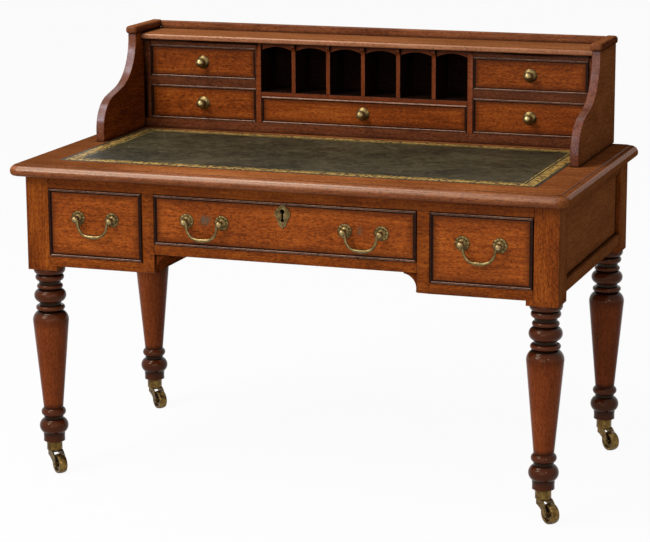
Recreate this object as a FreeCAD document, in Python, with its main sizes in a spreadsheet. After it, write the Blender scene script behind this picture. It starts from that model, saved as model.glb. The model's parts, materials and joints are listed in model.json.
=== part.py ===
import FreeCAD, Part
import os
import Sketcher

# A captain's writing desk with a raised gallery, in millimetres.
# The origin is on the floor under the centre of the top. +X is to the right, the front faces -Y, +Z is up.

# Driving dimensions: name, size, what it measures.
DIMENSIONS = (
    ("carcass_width", 1246, "outside of the leg posts, end to end"),
    ("carcass_depth", 660, "outside of the leg posts, front to back"),
    ("writing_height", 736, "floor to the writing surface"),
    ("top_thickness", 27, "desk top with its raised field"),
    ("end_overhang", 27, "top past the posts at each end"),
    ("front_overhang", 45, "top past the front posts"),
    ("back_overhang", 13, "top past the back posts"),
    ("thumb_radius", 15, "round of the top's upper edge"),
    ("under_radius", 9, "round of the top's lower edge"),
    ("corner_ease", 14, "plan corner radius beyond the thumb round"),
    ("field_step", 2, "quirk between the thumb mould and the field"),
    ("field_ledge", 4, "flat between the thumb mould and the quirk"),
    ("leather_end_margin", 90, "end edge of the top to the leather"),
    ("leather_margin", 92, "front edge of the top to the leather"),
    ("leather_back_gap", 16, "leather to the gallery's frame boards"),
    ("leather_thickness", 2, "writing leather and its recess"),
    ("post_size", 72, "square block at the head of each leg"),
    ("post_notch", 16, "inner face of the post set back above the block"),
    ("post_round", 1.5, "rounded upright edges of the post and block"),
    ("block_height", 11, "square block below the rails"),
    ("collar_height", 14, "leg, round collar under the block"),
    ("collar_round", 5, "leg, how far the collar draws in"),
    ("neck_radius", 25, "leg, upper necks"),
    ("neck_height", 7, "leg, each upper neck"),
    ("bead_height", 17, "leg, upper bead"),
    ("bead_swell", 8, "leg, upper bead past its neck"),
    ("fillet_bead_height", 12, "leg, small bead over the torus"),
    ("fillet_bead_swell", 5, "leg, small bead past its neck"),
    ("torus_height", 31, "leg, torus"),
    ("torus_swell", 12, "leg, torus past its neck"),
    ("ring_height", 12, "leg, ring on the shoulder"),
    ("ring_swell", 8.5, "leg, ring past its neck"),
    ("shoulder_height", 24, "leg, rounded shoulder over the taper"),
    ("shoulder_radius", 41.5, "leg, widest part"),
    ("ankle_radius", 22.5, "leg, thin end of the taper"),
    ("ankle_bead_height", 19, "leg, bead under the taper"),
    ("ankle_bead_swell", 6, "leg, ankle bead past the ankle"),
    ("ankle_height", 6, "leg, neck over the bulb"),
    ("bulb_height", 34, "leg, bulb"),
    ("bulb_swell", 9.5, "leg, bulb past its ends"),
    ("foot_height", 20, "leg, foot under the bulb"),
    ("foot_hollow", 0.5, "leg, depth of the foot's hollow"),
    ("foot_top_radius", 25.5, "leg, foot where the bulb begins"),
    ("foot_radius", 25, "leg, end of the foot on the caster cup"),
    ("cup_radius", 18, "brass caster cup"),
    ("cup_height", 22, "brass caster cup"),
    ("cup_wall", 2.5, "brass caster cup"),
    ("cup_floor", 4, "brass caster cup"),
    ("cup_rim", 1.2, "bead round the mouth of the cup"),
    ("seat_clearance", 0.2, "leg end in its cup, all round"),
    ("swivel_gap", 0.3, "caster crown below the cup"),
    ("swivel_pin_radius", 4, "caster swivel pin"),
    ("swivel_head", 1.6, "head of the swivel pin past its shank"),
    ("swivel_head_height", 3, "head of the swivel pin"),
    ("pin_clearance", 0.06, "pins in their holes, all round"),
    ("crown_radius", 14.5, "caster crown"),
    ("crown_thickness", 4.3, "caster crown"),
    ("caster_trail", 27, "swivel axis to wheel axle"),
    ("caster_angle", -40, "degrees that the casters point from +X"),
    ("wheel_radius", 23, "caster wheel"),
    ("wheel_gap", 1.4, "caster crown over the wheel"),
    ("wheel_width", 19, "caster wheel at its rim"),
    ("wheel_rim", 5.5, "rim of the wheel round its dished faces"),
    ("wheel_dish", 3.5, "depth of the dished faces"),
    ("wheel_crown", 1.5, "swell of the tread"),
    ("hub_radius", 7, "wheel hub"),
    ("hub_gap", 0.4, "wheel hub to each fork arm"),
    ("hub_proud", 0.8, "wheel hub past the rim on each face"),
    ("axle_radius", 3, "caster axle"),
    ("axle_head", 1.5, "end of the axle past the fork arm"),
    ("arm_thickness", 3.5, "fork arm"),
    ("arm_boss", 6.5, "fork arm round the axle"),
    ("rail_thickness", 22, "rails and uprights, front to back"),
    ("top_rail_height", 30, "front rail over the drawers"),
    ("side_opening_width", 230.5, "side drawer opening"),
    ("side_opening_height", 158, "side drawer opening"),
    ("side_rail_height", 23, "rail under each side drawer"),
    ("centre_opening_height", 114.5, "centre drawer opening"),
    ("centre_rail_height", 23, "rail under the centre drawer"),
    ("upright_width", 28.5, "upright between the drawers"),
    ("cheek_thickness", 16, "kneehole cheek"),
    ("bracket_width", 32, "kneehole bracket"),
    ("bracket_lip", 4, "square ends of the kneehole bracket"),
    ("bracket_setback", 6, "kneehole bracket behind the rail face"),
    ("bracket_hollow", 11, "depth of the bracket's curve"),
    ("end_setback", 2, "end rails and back board inside the post faces"),
    ("end_rail_thickness", 22, "end rails"),
    ("end_top_rail_height", 30, "end rail under the top"),
    ("end_bottom_rail_height", 27, "end rail under the panel"),
    ("end_rail_lift", 8, "end rail and back board above the front rail"),
    ("panel_setback", 9, "end panel inside its rails"),
    ("panel_thickness", 10, "end panel"),
    ("panel_bevel", 3, "bevel round the end panel"),
    ("back_thickness", 16, "back board"),
    ("runner_width", 18, "drawer runner"),
    ("runner_height", 18, "drawer runner"),
    ("runner_guide", 9.5, "inner side runner past the drawer side"),
    ("drawer_gap", 1.5, "drawer front in its opening, all round"),
    ("slide_gap", 0.3, "drawer side above its runner"),
    ("front_thickness", 20, "frieze drawer front"),
    ("bead_width", 4, "cock bead round a frieze drawer front"),
    ("bead_proud", 2.5, "cock bead past a frieze drawer front"),
    ("bead_round", 1.1, "rounded edges of the cock bead"),
    ("side_thickness", 10, "frieze drawer side and back"),
    ("box_back_gap", 62, "frieze drawer box clear of the back board"),
    ("side_drop", 24, "frieze drawer side below the top of its front"),
    ("bottom_thickness", 6, "frieze drawer bottom"),
    ("bottom_lift", 8, "frieze drawer bottom above the edge of its side"),
    ("handle_rise", 14, "side drawer handle posts above mid height"),
    ("centre_handle_rise", 2, "centre drawer handle posts above mid height"),
    ("handle_share", 0.604, "centre drawer handles from the middle, as a share of half the opening"),
    ("handle_span", 84, "handle post to handle post"),
    ("rose_radius", 17, "handle rosette"),
    ("rose_edge", 1.6, "rim of the rosette"),
    ("rose_dome", 3.4, "dome of the rosette past its rim"),
    ("post_radius", 4, "handle post"),
    ("ball_radius", 5.5, "ball end of the handle post"),
    ("bail_standoff", 17, "bail axis in front of the drawer"),
    ("bail_wire", 2.6, "radius of the bail"),
    ("bail_pin_end", 4, "bail pin past the middle of its post"),
    ("bail_neck", 7, "post to the start of the bail's curl"),
    ("bail_curl", 5, "radius of the swan neck"),
    ("bail_splay", 24, "degrees that the neck leans outwards"),
    ("bail_corner", 19, "radius of the lower corners"),
    ("bail_drop", 38, "bail axis to the grip"),
    ("knop_length", 34, "swelling at the middle of the grip"),
    ("knop_swell", 4.6, "radius of that swelling"),
    ("escutcheon_width", 36, "shield round the keyhole"),
    ("escutcheon_height", 53, "shield round the keyhole"),
    ("escutcheon_thickness", 2, "shield round the keyhole"),
    ("escutcheon_gap", 1.2, "shield below the bead over it"),
    ("keyhole_radius", 5.4, "round of the keyhole"),
    ("keyhole_rise", 13, "round of the keyhole above the shield's middle"),
    ("keyhole_slot", 4.6, "width of the keyhole slot"),
    ("keyhole_drop", 19.8, "round foot of the slot below the upper round"),
    ("keyhole_foot", 4, "round at the foot of the keyhole"),
    ("lock_width", 60, "lock case"),
    ("lock_height", 49, "lock case"),
    ("lock_depth", 9, "lock case, let into the back of the front"),
    ("bolt_width", 20, "lock bolt"),
    ("bolt_thickness", 5, "lock bolt"),
    ("bolt_height", 22, "lock bolt"),
    ("bolt_gap", 0.3, "lock bolt in its case and mortise"),
    ("bolt_travel", 8, "rise of the lock bolt"),
    ("mortise_spare", 3, "mortise above the risen bolt"),
    ("gallery_margin", 62, "end edge of the top to the gallery side"),
    ("gallery_height", 236, "writing surface to the caps"),
    ("gallery_depth", 355, "gallery side at its foot"),
    ("gallery_crest", 157, "gallery side at its cap"),
    ("gallery_inset", 8, "gallery back inside the top's back edge"),
    ("gallery_side", 21, "gallery side thickness"),
    ("ogee_foot", 26, "straight foot of the gallery side"),
    ("ogee_head", 7, "straight head of the gallery side"),
    ("ogee_angle", 76, "degrees from upright of the curve's middle"),
    ("ogee_share", 0.4, "share of the curve's radii in the lower arc"),
    ("cap_overhang", 4.5, "cap past each face of its side"),
    ("cap_nose", 8, "cap past the front of its side"),
    ("cap_height", 18, "cap"),
    ("cap_corner", 9, "round of the cap's upright corners"),
    ("cap_round", 7.5, "round of the cap's upper edges"),
    ("cap_under", 6, "round of the cap's lower edges"),
    ("shelf_thickness", 14.5, "gallery top shelf"),
    ("shelf_drop", 2.5, "shelf below the head of the sides"),
    ("shelf_depth", 122, "shelf in front of the back board"),
    ("shelf_nose", 5, "round of the shelf's front edges"),
    ("crest_rail_thickness", 12, "low rail along the back of the shelf"),
    ("crest_rail_height", 19, "low rail above the shelf"),
    ("crest_rail_round", 4, "round of the low rail's upper edges"),
    ("gallery_back", 8, "gallery back board"),
    ("case_depth", 104, "gallery frame boards in front of the back"),
    ("case_base", 24, "board under the gallery drawers"),
    ("case_lining", 17.5, "lining inside each gallery side"),
    ("case_partition", 13, "partition beside the pigeonholes"),
    ("small_opening_width", 277, "side gallery drawer opening"),
    ("small_lower_height", 84, "lower gallery drawer opening"),
    ("small_divider", 19.5, "board between two gallery drawers"),
    ("small_upper_height", 78.5, "upper gallery drawer opening"),
    ("small_rail_depth", 14, "rail over the upper gallery drawers"),
    ("middle_opening_height", 66, "middle gallery drawer opening"),
    ("pigeon_shelf", 10, "board under the pigeonholes"),
    ("pigeon_count", 6, "pigeonholes side by side"),
    ("pigeon_divider", 9.5, "pigeonhole divider"),
    ("pigeon_setback", 2, "dividers behind the frame boards"),
    ("corbel_proud", 8, "corbel in front of its divider"),
    ("corbel_height", 22, "corbel at the head of a divider"),
    ("valance_thickness", 7, "arched valance"),
    ("valance_setback", 6, "valance behind the frame boards"),
    ("valance_height", 18, "arched valance at its ends"),
    ("valance_rise", 9, "rise of the arch"),
    ("small_gap", 0.8, "gallery drawer front in its opening"),
    ("small_setback", 2, "gallery drawer face behind the frame boards"),
    ("small_front", 12, "gallery drawer front"),
    ("small_bead_width", 3.5, "bead round a gallery drawer front"),
    ("small_bead_proud", 2, "bead past a gallery drawer front"),
    ("small_bead_round", 0.9, "rounded edges of that bead"),
    ("small_side", 6, "gallery drawer side and back"),
    ("small_box_back_gap", 8, "gallery drawer box clear of the gallery back"),
    ("small_side_drop", 8, "gallery drawer side below the top of its front"),
    ("small_bottom", 4, "gallery drawer bottom"),
    ("small_bottom_lift", 4, "gallery drawer bottom above the edge of its side"),
    ("knob_rose_radius", 15.5, "rose behind a knob"),
    ("knob_rose_edge", 1.5, "rim of that rose"),
    ("knob_rose_dome", 3.5, "dome of that rose"),
    ("knob_neck_radius", 4.5, "knob neck"),
    ("knob_ball_radius", 10.5, "knob ball"),
    ("knob_standoff", 19.5, "middle of the ball in front of the drawer"),
)

# Faces and levels that several pieces share, worked out from the dimensions.
PLACES = (
    ("half_width", "=dims.carcass_width / 2"),
    ("top_out", "=half_width + dims.end_overhang"),
    ("top_front", "=-(dims.carcass_depth + dims.front_overhang + dims.back_overhang) / 2"),
    ("top_back", "=-top_front"),
    ("face", "=top_front + dims.front_overhang"),
    ("rear", "=top_back - dims.back_overhang"),
    ("rail_back", "=face + dims.rail_thickness"),
    ("board_rear", "=rear - dims.end_setback"),
    ("board_front", "=board_rear - dims.back_thickness"),
    ("box_end", "=board_front - dims.box_back_gap"),
    ("leg_x", "=half_width - dims.post_size / 2"),
    ("leg_front", "=face + dims.post_size / 2"),
    ("leg_back", "=rear - dims.post_size / 2"),
    ("post_inner", "=half_width - dims.post_size + dims.post_notch"),
    ("upright_outer", "=post_inner - dims.side_opening_width"),
    ("upright_inner", "=upright_outer - dims.upright_width"),
    ("cheek_outer", "=upright_inner + dims.cheek_thickness"),
    ("handle_x", "=upright_inner * dims.handle_share"),
    ("top_under", "=dims.writing_height - dims.top_thickness"),
    ("opening_top", "=top_under - dims.top_rail_height"),
    ("side_sill", "=opening_top - dims.side_opening_height"),
    ("rail_under", "=side_sill - dims.side_rail_height"),
    ("centre_sill", "=opening_top - dims.centre_opening_height"),
    ("centre_under", "=centre_sill - dims.centre_rail_height"),
    ("block_under", "=rail_under - dims.block_height"),
    ("end_under", "=rail_under + dims.end_rail_lift"),
    ("arm_inner", "=dims.wheel_width / 2 + dims.hub_proud + dims.hub_gap"),
    ("arm_outer", "=arm_inner + dims.arm_thickness"),
    ("crown_under", "=2 * dims.wheel_radius + dims.wheel_gap"),
    ("crown_top", "=crown_under + dims.crown_thickness"),
    ("cup_under", "=crown_top + dims.swivel_gap"),
    ("cup_top", "=cup_under + dims.cup_height"),
    ("tip_under", "=cup_under + dims.cup_floor"),
    ("tip_radius", "=dims.cup_radius - dims.cup_wall - dims.seat_clearance"),
    ("head_radius", "=dims.swivel_pin_radius + dims.swivel_head"),
    ("foot_top", "=cup_top + dims.foot_height"),
    ("bulb_top", "=foot_top + dims.bulb_height"),
    ("ankle_bead_under", "=bulb_top + dims.ankle_height"),
    ("taper_under", "=ankle_bead_under + dims.ankle_bead_height"),
    ("collar_under", "=block_under - dims.collar_height"),
    ("bead_under", "=collar_under - dims.bead_height"),
    ("fillet_bead_top", "=bead_under - dims.neck_height"),
    ("torus_top", "=fillet_bead_top - dims.fillet_bead_height"),
    ("torus_under", "=torus_top - dims.torus_height"),
    ("ring_top", "=torus_under - dims.neck_height"),
    ("ring_under", "=ring_top - dims.ring_height"),
    ("shoulder_under", "=ring_under - dims.shoulder_height"),
    ("centre_middle", "=(opening_top + centre_sill) / 2"),
    ("side_middle", "=(opening_top + side_sill) / 2"),
    ("side_centre", "=(post_inner + upright_outer) / 2"),
    ("bead_inner", "=opening_top - dims.drawer_gap - dims.bead_width"),
    ("shield_z", "=bead_inner - dims.escutcheon_gap - dims.escutcheon_height / 2"),
    ("front_back", "=face + dims.front_thickness"),
    ("lock_front", "=front_back - dims.lock_depth"),
    ("lock_top", "=opening_top - dims.drawer_gap"),
    ("bolt_y", "=front_back - dims.lock_depth / 2"),
    ("bolt_top", "=lock_top - dims.bolt_gap"),
    ("gallery_out", "=top_out - dims.gallery_margin"),
    ("gallery_in", "=gallery_out - dims.gallery_side"),
    ("gallery_rear", "=top_back - dims.gallery_inset"),
    ("gallery_foot", "=gallery_rear - dims.gallery_depth"),
    ("gallery_head", "=gallery_rear - dims.gallery_crest"),
    ("crest", "=dims.writing_height + dims.gallery_height"),
    ("shelf_top", "=crest - dims.shelf_drop"),
    ("shelf_under", "=shelf_top - dims.shelf_thickness"),
    ("case_rear", "=gallery_rear - dims.gallery_back"),
    ("case_front", "=case_rear - dims.case_depth"),
    ("small_box_end", "=case_rear - dims.small_box_back_gap"),
    ("leather_x", "=top_out - dims.leather_end_margin"),
    ("leather_front", "=top_front + dims.leather_margin"),
    ("leather_back", "=case_front - dims.leather_back_gap"),
    ("case_sill", "=dims.writing_height + dims.case_base"),
    ("case_in", "=gallery_in - dims.case_lining"),
    ("partition_out", "=case_in - dims.small_opening_width"),
    ("partition_in", "=partition_out - dims.case_partition"),
    ("divider_under", "=case_sill + dims.small_lower_height"),
    ("divider_top", "=divider_under + dims.small_divider"),
    ("small_head", "=divider_top + dims.small_upper_height"),
    ("middle_head", "=case_sill + dims.middle_opening_height"),
    ("pigeon_sill", "=middle_head + dims.pigeon_shelf"),
    ("pigeon_pitch", "=(2 * partition_in + dims.pigeon_divider) / dims.pigeon_count"),
    ("small_face", "=case_front + dims.small_setback"),
    ("ogee_run", "=dims.gallery_depth - dims.gallery_crest"),
    ("ogee_climb", "=dims.gallery_height - dims.ogee_foot - dims.ogee_head"),
    ("ogee_sine", "=sin(dims.ogee_angle)"),
    ("ogee_cosine", "=cos(dims.ogee_angle)"),
    ("ogee_radii", "=(ogee_climb * ogee_sine - ogee_run * ogee_cosine) / (1 - ogee_cosine)"),
    ("ogee_low", "=ogee_radii * dims.ogee_share"),
    ("ogee_high", "=ogee_radii - ogee_low"),
)

LEFT = -1
RIGHT = 1
FRONT = "places.leg_front"
BACK = "places.leg_back"

doc = FreeCAD.newDocument("captains_desk")
nodes = {}


def make_sheet(name, rows):
    """One sheet with a name and a value on each row."""
    sheet = doc.addObject("Spreadsheet::Sheet", name)
    for row, (alias, value, *note) in enumerate(rows, start=1):
        sheet.set(f"A{row}", alias)
        sheet.set(f"B{row}", str(value))
        sheet.set(f"C{row}", " ".join(note))
        sheet.setAlias(f"B{row}", alias)
    doc.recompute()
    return sheet


dims = make_sheet("dims", DIMENSIONS)
places = make_sheet("places", PLACES)


def size(expression):
    """The present value of an expression on the sheets."""
    return float(dims.evalExpression(expression))


def keep(label, piece):
    """Give a finished sub-part its name."""
    piece.Label = label
    nodes[label] = piece
    return piece


def keep_group(label, pieces):
    """Several separate solids under one name."""
    group = doc.addObject("Part::Compound", label)
    group.Links = pieces
    return keep(label, group)


def mirrored(side, inner, outer):
    """The low and high x of a span on the right half, or of its mirror on the left half."""
    if side == RIGHT:
        return inner, outer
    return f"-({outer})", f"-({inner})"


def across(outer):
    """A span from -outer to +outer."""
    return f"-({outer})", outer


def board(name, x, y, z):
    """A straight board between a low and a high face along each axis."""
    box = doc.addObject("Part::Box", name)
    for axis, length, (low, high) in zip("xyz", ("Length", "Width", "Height"), (x, y, z)):
        box.setExpression(length, f"({high}) - ({low})")
        box.setExpression(f"Placement.Base.{axis}", low)
    return box


def cut(name, base, tool):
    """One solid with another taken out of it."""
    result = doc.addObject("Part::Cut", name)
    result.Base = base
    result.Tool = tool
    return result


def make_body(name, x="0", y="0", z="0", turn=None):
    """An empty body whose own origin stands at x, y, z, turned about its upright axis."""
    body = doc.addObject("PartDesign::Body", name)
    for axis, place in zip("xyz", (x, y, z)):
        body.setExpression(f"Placement.Base.{axis}", place)
    if turn is not None:
        body.setExpression("Placement.Rotation.Angle", turn)
    return body


def make_sketch(body, name, plane, lift="0"):
    """An empty sketch on one of the body's planes, moved along that plane's normal by lift."""
    sketch = body.newObject("Sketcher::SketchObject", name)
    support = next(item for item in body.Origin.OriginFeatures if item.Role == plane)
    sketch.AttachmentSupport = (support, [""])
    sketch.MapMode = "FlatFace"
    sketch.setExpression("AttachmentOffset.Base.z", lift)
    return sketch


def bind(sketch, kind, reference, name, expression):
    """A constraint whose value follows an expression."""
    index = sketch.addConstraint(Sketcher.Constraint(kind, *reference, size(expression)))
    sketch.renameConstraint(index, name)
    sketch.setExpression(f"Constraints.{name}", expression)


def draw(sketch, points, closed=True):
    """Straight and round stretches from point to point.

    A point is (x, y), or (x, y, swell) where the stretch that arrives at it is an arc
    that swells by that much to the right of its direction.
    """
    corners = [FreeCAD.Vector(size(point[0]), size(point[1]), 0) for point in points]
    ends = []
    for index in range(0 if closed else 1, len(points)):
        start, end = corners[index - 1], corners[index]
        x, y, *swell = points[index]
        if swell:
            along = end - start
            rightward = FreeCAD.Vector(along.y, -along.x, 0).normalize()
            middle = (start + end) / 2 + rightward * size(swell[0])
            stretch = sketch.addGeometry(Part.Arc(start, middle, end))
            run = f"({x}) - ({points[index - 1][0]})"
            rise = f"({y}) - ({points[index - 1][1]})"
            radius = f"(({run})^2 + ({rise})^2) / (8 * abs({swell[0]})) + abs({swell[0]}) / 2"
            bind(sketch, "Radius", (stretch,), f"radius{stretch}", radius)
        else:
            stretch = sketch.addGeometry(Part.LineSegment(start, end))
        forward = sketch.getPoint(stretch, 1).distanceToPoint(start) < 0.001
        first, last = (1, 2) if forward else (2, 1)
        ends.append((stretch, first, last))
        bind(sketch, "DistanceX", (-1, 1, stretch, last), f"across{stretch}", x)
        bind(sketch, "DistanceY", (-1, 1, stretch, last), f"along{stretch}", y)
    following = ends[1:] + ends[:1] if closed else ends[1:]
    for (before, _, last), (after, first, _) in zip(ends, following):
        sketch.addConstraint(Sketcher.Constraint("Coincident", before, last, after, first))
    if not closed:
        stretch, first, _ = ends[0]
        bind(sketch, "DistanceX", (-1, 1, stretch, first), "start_across", points[0][0])
        bind(sketch, "DistanceY", (-1, 1, stretch, first), "start_along", points[0][1])
    return sketch


def draw_rectangle(sketch, x, y):
    """A rectangle between a low and a high x and y."""
    return draw(sketch, [(x[0], y[0]), (x[1], y[0]), (x[1], y[1]), (x[0], y[1])])


def draw_circle(sketch, x, y, radius):
    """A circle about a point."""
    centre = FreeCAD.Vector(size(x), size(y), 0)
    circle = sketch.addGeometry(Part.Circle(centre, FreeCAD.Vector(0, 0, 1), size(radius)))
    bind(sketch, "DistanceX", (-1, 1, circle, 3), f"across{circle}", x)
    bind(sketch, "DistanceY", (-1, 1, circle, 3), f"along{circle}", y)
    bind(sketch, "Radius", (circle,), f"radius{circle}", radius)
    return sketch


def pad(body, name, sketch, length):
    """Material raised from a sketch along its normal."""
    feature = body.newObject("PartDesign::Pad", name)
    feature.Profile = sketch
    feature.setExpression("Length", length)
    return feature


def pocket(body, name, sketch, length):
    """Material taken away from a sketch against its normal."""
    feature = body.newObject("PartDesign::Pocket", name)
    feature.Profile = sketch
    feature.setExpression("Length", length)
    return feature


def turn(body, name, sketch, axis="V_Axis"):
    """A sketch turned all the way round an axis."""
    feature = body.newObject("PartDesign::Revolution", name)
    feature.Profile = sketch
    feature.ReferenceAxis = (sketch, [axis])
    feature.Angle = 360
    return feature


def ease_edges(body, name, kind, amount, chosen):
    """A fillet or a chamfer on those edges of the body that pass a test."""
    doc.recompute()
    base = body.Tip
    edges = enumerate(base.Shape.Edges, start=1)
    feature = body.newObject(f"PartDesign::{kind}", name)
    feature.Base = (base, [f"Edge{number}" for number, edge in edges if chosen(edge.BoundBox)])
    feature.setExpression("Radius" if kind == "Fillet" else "Size", amount)
    return feature


def lies_at(low, high, level):
    """Whether an edge lies in the plane at that level."""
    return max(abs(low - level), abs(high - level)) < 0.001


def make_leg(name, side, row):
    """A turned leg in one piece with its square post."""
    label = f"leg_{name}"
    x = "places.leg_x" if side == RIGHT else "-places.leg_x"
    body = make_body(f"{label}_body", x, row)
    neck = "dims.neck_radius"
    ankle = "dims.ankle_radius"
    bore = "places.head_radius + dims.swivel_gap"
    bore_top = "places.cup_top"
    profile = make_sketch(body, f"{label}_profile", "XZ_Plane")
    draw(profile, [
        (bore, "places.tip_under"),
        ("places.tip_radius", "places.tip_under"),
        ("places.tip_radius", "places.cup_top"),
        ("dims.foot_radius", "places.cup_top"),
        ("dims.foot_top_radius", "places.foot_top", "-dims.foot_hollow"),
        (ankle, "places.bulb_top", "dims.bulb_swell"),
        (ankle, "places.ankle_bead_under"),
        (ankle, "places.taper_under", "dims.ankle_bead_swell"),
        ("dims.shoulder_radius", "places.shoulder_under"),
        (neck, "places.ring_under", "dims.shoulder_height * 0.19"),
        (neck, "places.ring_top", "dims.ring_swell"),
        (neck, "places.torus_under"),
        (neck, "places.torus_top", "dims.torus_swell"),
        (neck, "places.fillet_bead_top", "dims.fillet_bead_swell"),
        (neck, "places.bead_under"),
        (neck, "places.collar_under", "dims.bead_swell"),
        ("dims.post_size / 2 - dims.collar_round", "places.collar_under"),
        ("dims.post_size / 2", "places.block_under", "dims.collar_round / 2"),
        ("0", "places.block_under"),
        ("0", bore_top),
        (bore, bore_top),
    ])
    turn(body, f"{label}_turning", profile)
    half = "dims.post_size / 2"
    block = make_sketch(body, f"{label}_block_plan", "XY_Plane", "places.block_under")
    draw_rectangle(block, across(half), across(half))
    pad(body, f"{label}_block", block, "dims.block_height")
    post = make_sketch(body, f"{label}_post_plan", "XY_Plane", "places.rail_under")
    draw_rectangle(post, mirrored(side, f"dims.post_notch - {half}", half), across(half))
    pad(body, f"{label}_post", post, "places.top_under - places.rail_under")
    under = size("places.block_under")
    ease_edges(body, f"{label}_round", "Fillet", "dims.post_round",
               lambda box: box.ZMin > under - 0.001 and max(box.XLength, box.YLength) < 0.001)
    keep(label, body)


def make_cup(name, x, y):
    """The brass cup that holds the end of a leg."""
    body = make_body(f"caster_cup_{name}", x, y)
    hole = "dims.swivel_pin_radius + dims.pin_clearance"
    inside = "dims.cup_radius - dims.cup_wall"
    profile = make_sketch(body, f"caster_cup_{name}_profile", "XZ_Plane")
    draw(profile, [
        (hole, "places.cup_under"),
        ("dims.cup_radius", "places.cup_under"),
        ("dims.cup_radius", "places.cup_top - 3 * dims.cup_rim"),
        ("dims.cup_radius", "places.cup_top", "dims.cup_rim"),
        (inside, "places.cup_top"),
        (inside, "places.tip_under"),
        (hole, "places.tip_under"),
    ])
    turn(body, f"caster_cup_{name}_turning", profile)
    return body


def make_fork(name, x, y):
    """A caster fork: crown with its headed swivel pin, two arms, and the axle riveted across them."""
    label = f"caster_fork_{name}"
    body = make_body(f"{label}_body", x, y, turn="dims.caster_angle")
    pin = "dims.swivel_pin_radius"
    head_under = "places.tip_under + dims.swivel_gap"
    head_top = f"{head_under} + dims.swivel_head_height"
    profile = make_sketch(body, f"{label}_crown_profile", "XZ_Plane")
    draw(profile, [
        ("0", "places.crown_under"),
        ("dims.crown_radius", "places.crown_under"),
        ("dims.crown_radius", "places.crown_top"),
        (pin, "places.crown_top"),
        (pin, head_under),
        ("places.head_radius", head_under),
        ("places.head_radius", head_top),
        ("0", head_top),
    ])
    turn(body, f"{label}_crown", profile)
    boss = "dims.arm_boss"
    trail = "dims.caster_trail"
    axle_z = "dims.wheel_radius"
    for arm, lift in (("near", "places.arm_inner"), ("far", "-places.arm_outer")):
        outline = make_sketch(body, f"{label}_{arm}_outline", "XZ_Plane", lift)
        draw(outline, [
            (f"-{boss}", "places.crown_top"),
            (f"-{boss}", f"{axle_z} + 2.5 * {boss}"),
            (f"{trail} - {boss} * 0.6", f"{axle_z} - {boss} * 0.8", f"-{boss} * 0.5"),
            (f"{trail} + {boss}", axle_z, f"{boss} * 0.65"),
            ("dims.crown_radius", "places.crown_top", f"{boss} * 0.45"),
        ])
        pad(body, f"{label}_{arm}_arm", outline, "dims.arm_thickness")
    reach = "places.arm_outer + dims.axle_head"
    section = make_sketch(body, f"{label}_axle_section", "XZ_Plane", f"-({reach})")
    draw_circle(section, trail, axle_z, "dims.axle_radius")
    pad(body, f"{label}_axle", section, f"2 * ({reach})")
    keep(label, body)


def make_wheel(name, x, y):
    """A solid brass wheel with dished faces."""
    label = f"caster_wheel_{name}"
    wheel_x = f"{x} + dims.caster_trail * cos(dims.caster_angle)"
    wheel_y = f"{y} + dims.caster_trail * sin(dims.caster_angle)"
    body = make_body(f"{label}_body", wheel_x, wheel_y, "dims.wheel_radius", "dims.caster_angle")
    half = "dims.wheel_width / 2"
    hub = f"{half} + dims.hub_proud"
    web = f"{half} - dims.wheel_dish"
    bore = "dims.axle_radius + dims.pin_clearance"
    tread = "dims.wheel_radius - dims.wheel_crown"
    rim = f"{tread} - dims.wheel_rim"
    profile = make_sketch(body, f"{label}_profile", "XY_Plane")
    draw(profile, [
        (bore, f"-({hub})"),
        ("dims.hub_radius", f"-({hub})"),
        ("dims.hub_radius", f"-({web})"),
        (rim, f"-({web})"),
        (rim, f"-({half})"),
        (tread, f"-({half})"),
        (tread, half, "dims.wheel_crown"),
        (rim, half),
        (rim, web),
        ("dims.hub_radius", web),
        ("dims.hub_radius", hub),
        (bore, hub),
    ])
    turn(body, f"{label}_turning", profile)
    keep(label, body)


def make_legs_and_casters():
    """Four legs, each on its cup, fork and wheel."""
    cups = []
    for name, side, row in (
        ("front_left", LEFT, FRONT),
        ("front_right", RIGHT, FRONT),
        ("back_left", LEFT, BACK),
        ("back_right", RIGHT, BACK),
    ):
        x = "places.leg_x" if side == RIGHT else "-places.leg_x"
        make_leg(name, side, row)
        cups.append(make_cup(name, x, row))
        make_fork(name, x, row)
        make_wheel(name, x, row)
    keep_group("caster_cups", cups)


def make_front_frame():
    """Rails and uprights round the frieze drawers, with a mortise for the lock bolt."""
    depth = ("places.face", "places.rail_back")
    rail = board(
        "front_top_rail_blank",
        across("places.post_inner"),
        depth,
        ("places.opening_top", "places.top_under"),
    )
    gap = "dims.bolt_gap"
    half_y = "dims.bolt_thickness / 2"
    mortise = board(
        "bolt_mortise",
        across(f"dims.bolt_width / 2 + {gap}"),
        (f"places.bolt_y - {half_y} - {gap}", f"places.bolt_y + {half_y} + {gap}"),
        ("places.opening_top", "places.bolt_top + dims.bolt_travel + dims.mortise_spare"),
    )
    pieces = [cut("front_top_rail", rail, mortise)]
    centre_z = ("places.centre_under", "places.centre_sill")
    pieces.append(board("centre_rail", across("places.upright_inner"), depth, centre_z))
    for name, side in (("left", LEFT), ("right", RIGHT)):
        opening = mirrored(side, "places.upright_outer", "places.post_inner")
        upright = mirrored(side, "places.upright_inner", "places.upright_outer")
        pieces.append(board(f"side_rail_{name}", opening, depth, ("places.rail_under", "places.side_sill")))
        pieces.append(board(f"upright_{name}", upright, depth, ("places.rail_under", "places.opening_top")))
    keep_group("front_frame", pieces)


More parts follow.
